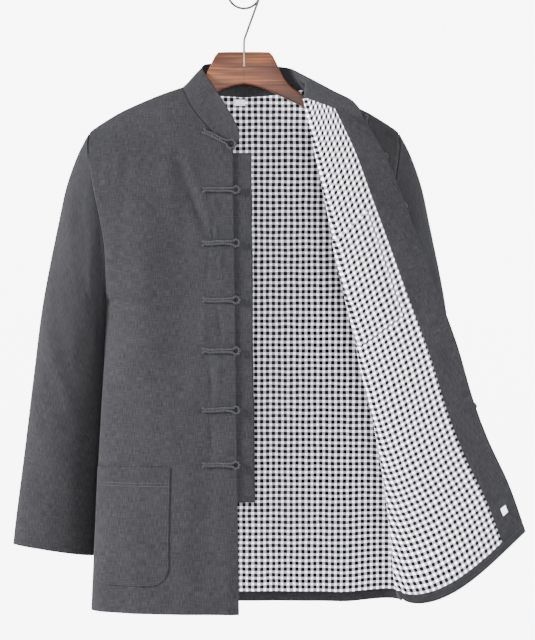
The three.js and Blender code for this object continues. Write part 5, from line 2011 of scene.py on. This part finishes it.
@dataclass
class Jacket:
    """The whole jacket, from its panels to its last stitch."""

    wardrobe: Wardrobe
    right: RightFront = field(default_factory=RightFront)
    back: Back = field(default_factory=Back)
    left: LeftFront = field(default_factory=LeftFront)
    frog: Frog = field(default_factory=Frog)
    sewing: Stitches = field(default_factory=Stitches)
    frog_heights: Sequence[float] = (-303, -377, -456, -526.5, -608, -684)
    # Height, distance out of the edge, height over the cloth and slip along the edge of each ball.
    knots: Sequence[tuple[float, float, float, float]] = (
        (-248, 5.2, 1.5, -9),
        (-305, 1.4, 7, 0),
        (-383, 1.2, 7, 0),
        (-462, -1.2, 7, 0),
        (-535, -2, 7, 0),
        (-616, -2.8, 7, 0),
        (-690, -0.8, 7, 0),
    )

    def build(self) -> None:
        """Makes every piece."""
        self.build_panels()
        for side in (-1, 1):
            Sleeve(side).build(self.wardrobe)
        lines = [self.right.neck_line(), self.back.neck_line(), self.left.neck_line()]
        Collar().build(lines, self.wardrobe)
        UnderPlacket().build(self.wardrobe)
        self.build_patches()
        self.build_frogs()

    @staticmethod
    def width(grid: ClothGrid) -> float:
        """Gives a panel's greatest width in metres."""
        return float(run_along(grid.points)[-1].max()) * MM

    def declare(
        self,
        grid: ClothGrid,
        width: float | None = None,
    ) -> None:
        """Works out a panel's width in metres, and does nothing with it.

        Args:
            grid: Its middle surface.
            width: Its width in metres, if that isn't the grid's.
        """
        width = width or self.width(grid)

    def build_panels(self) -> None:
        """Makes the right front, the back and its lining, and the left front with lining and facing."""
        w = self.wardrobe
        piece = wall("right_front_cloth", self.right.grid, LINED_SHELL, w.shell, inner=w.gingham)
        place(piece, Slot.SHELL, "right_front")
        self.declare(self.right.grid)

        back = self.back.grid
        piece = wall("back_cloth", back, SHELL, w.shell, step_rows=HEM_ROWS)
        place(piece, Slot.SHELL, "back")
        self.declare(back)
        lining = back.part(rows=slice(0, -HEM_ROWS))
        piece = wall("back_lining_cloth", lining, LINING, w.gingham, edge=w.shell)
        place(piece, Slot.LINING, "back_lining")
        self.declare(lining)

        left = self.left.grid
        piece = wall("left_front_cloth", left, SHELL, w.shell, step_rows=HEM_ROWS)
        place(piece, Slot.SHELL, "left_front")
        self.declare(left)
        lining = left.part(slice(self.left.side, self.left.facing_start + 1), slice(0, -HEM_ROWS))
        piece = wall("left_lining_cloth", lining, LINING, w.gingham, edge=w.shell)
        place(piece, Slot.LINING, "left_lining")
        self.declare(lining)
        facing = left.part(slice(self.left.facing_start, None), slice(0, -HEM_ROWS))
        piece = wall("left_facing_cloth", facing, LINING, w.shell)
        place(piece, Slot.SHELL, "left_facing")
        self.declare(facing)

    def build_patches(self) -> None:
        """Makes the pockets and the bare labels."""
        w, right, back, left = self.wardrobe, self.right.grid, self.back.grid, self.left.grid
        pieces = [
            ("right_pocket", POCKET, right, True, w.shell, Slot.SHELL, "right_front"),
            ("left_pocket", POCKET, left, True, w.shell, Slot.SHELL, "left_front"),
            ("inner_pocket", INNER_POCKET, left, False, w.gingham, Slot.LINING, "left_lining"),
            ("size_label", SIZE_LABEL, back, False, w.tape, Slot.TAPE, "back_lining"),
            ("facing_tag", FACING_TAG, left, False, w.tape, Slot.TAPE, "left_facing"),
        ]
        for node, patch, panel, outside, material, slot, under in pieces:
            piece, grid = patch.build(f"{node}_cloth", panel, outside, material)
            place(piece, slot, node)
            self.stitch(node, patch, grid, outside)
            if slot is not Slot.TAPE:
                width = abs(patch.far + patch.flare - patch.near) * MM
                self.declare(grid, width)

    def stitch(self, node: str, patch: Patch, grid: ClothGrid, outside: bool) -> None:
        """Sews a patch down: a row of stitches round three sides, and more across a pocket's hem.

        Args:
            node: The patch's node.
            patch: Its sizes.
            grid: Its middle surface.
            outside: Whether it lies on the panel's outside.
        """
        way = 1.0 if outside else -1.0
        height = SHELL.outside + SEAM_GAP if outside else LINING.inside - SEAM_GAP
        height += way * patch.thickness
        inset = 1.6 if patch.corner or patch.flare else 1.0
        lines = [patch.round_edge(grid, inset)]
        if node.endswith("pocket"):
            lines += [patch.across_at(grid, down, inset) for down in ((22, 26) if outside else (20,))]
        strands = []
        for line, normals in lines:
            strands += self.sewing.along(line + normals * height, normals * way)
        thread = bundle(f"{node}_stitches", strands, self.wardrobe.thread)
        place(thread, Slot.SHELL if outside else Slot.LINING)

    def build_frogs(self) -> None:
        """Makes the seven loops and the seven knots."""
        self.frog.loop(1, (-57, -219.6), (-17.6, -238.6), 0.2, self.wardrobe)
        for number, z in enumerate(self.frog_heights, 2):
            self.frog.loop(number, (-57.6, z), (-10.5, z), 0.6, self.wardrobe)
        for number, at in enumerate(self.knots, 1):
            self.frog.knot(number, self.left.grid, at, self.wardrobe)


# ---------------------------------------------------------------- the studio


@dataclass(frozen=True)
class Studio:
    """A camera level with the jacket's middle, a pale floor and soft light, most of it from the left."""

    camera_at: tuple[float, float, float] = (0.0331, -3.2, -0.4836)
    width_seen: float = 0.75435
    sensor: float = 36.0
    floor_z: float = -1.45
    floor_half: float = 3.0
    backdrop_half: float = 1.45
    backdrop_y: float = 6.0
    backdrop_z: tuple[float, float] = (-2.4, 1.3)
    # Name, place, size in metres and power in watts.
    lights: Sequence[tuple[str, tuple[float, float, float], float, float]] = (
        ("key", (-2.85, -1.1, 0.5), 0.9, 600),
        ("front_fill", (0.2, -3.8, -0.1), 1.6, 225),
        ("side_fill", (2.9, -1.2, 0.2), 1.2, 260),
    )

    def build(self) -> None:
        """Sets up the camera, the floor, the lights and the world."""
        scene = bpy.context.scene
        data = bpy.data.cameras.new("camera")
        data.sensor_fit = "HORIZONTAL"
        data.sensor_width = self.sensor
        data.lens = self.sensor * -self.camera_at[1] / self.width_seen
        camera = bpy.data.objects.new("camera", data)
        camera.location = self.camera_at
        camera.rotation_euler = (math.pi / 2, 0, 0)
        scene.collection.objects.link(camera)
        scene.camera = camera
        self.build_world()
        self.build_floor()
        for name, at, size, power in self.lights:
            self.light(name, at, size, power)
        self.build_backdrop()

    def build_world(self) -> None:
        """Gives the world a faint near-white light."""
        world = bpy.data.worlds.new("studio")
        world.use_nodes = True
        nodes = world.node_tree.nodes
        background = nodes.get("Background") or nodes.new("ShaderNodeBackground")
        background.inputs[0].default_value = linear("#f8f8f8")
        background.inputs[1].default_value = 0.3
        bpy.context.scene.world = world

    def build_backdrop(self) -> None:
        """Hangs a lit white backdrop far behind, only as large as the picture needs."""
        half, away, (groove_shade, top) = self.backdrop_half, self.backdrop_y, self.backdrop_z
        corners = np.array([(-half, away, groove_shade), (half, away, groove_shade), (half, away, top), (-half, away, top)])
        paper = Nodes("lit_white_backdrop").finish(
            Base_Color=linear("#f7f7f9"),
            Roughness=1.0,
            Emission_Color=linear("#fafafc"),
            Emission_Strength=7.0,
        )
        link("studio_backdrop", corners / MM, [[0, 1, 2, 3]], [paper])

    def build_floor(self) -> None:
        """Lays a plain pale floor, out of the picture."""
        half, z = self.floor_half, self.floor_z
        corners = np.array([(-half, -half, z), (half, -half, z), (half, half, z), (-half, half, z)])
        paint = Nodes("pale_studio_floor").finish(Base_Color=linear("#f0f0f1"), Roughness=0.9)
        link("studio_floor", corners / MM, [[0, 1, 2, 3]], [paint])

    def light(self, name: str, at: tuple[float, float, float], size: float, power: float) -> None:
        """Adds a soft square light that faces the jacket's middle.

        Args:
            name: Its name.
            at: Its place in metres.
            size: Its side in metres.
            power: Its power in watts.
        """
        data = bpy.data.lights.new(name, "AREA")
        data.size = size
        data.energy = power
        lamp = bpy.data.objects.new(name, data)
        lamp.location = at
        way = Vector((0, 0, self.camera_at[2])) - lamp.location
        lamp.rotation_euler = way.to_track_quat("-Z", "Y").to_euler()
        bpy.context.scene.collection.objects.link(lamp)


def main() -> None:
    """Builds the jacket on its hanger, and the studio round it."""
    wardrobe = Wardrobe.make()
    Jacket(wardrobe).build()
    hanger = Hanger()
    for side in (-1, 1):
        hanger.arm(side, wardrobe)
    hanger.hook(wardrobe)
    Studio().build()


if __name__ == "__main__":
    main()
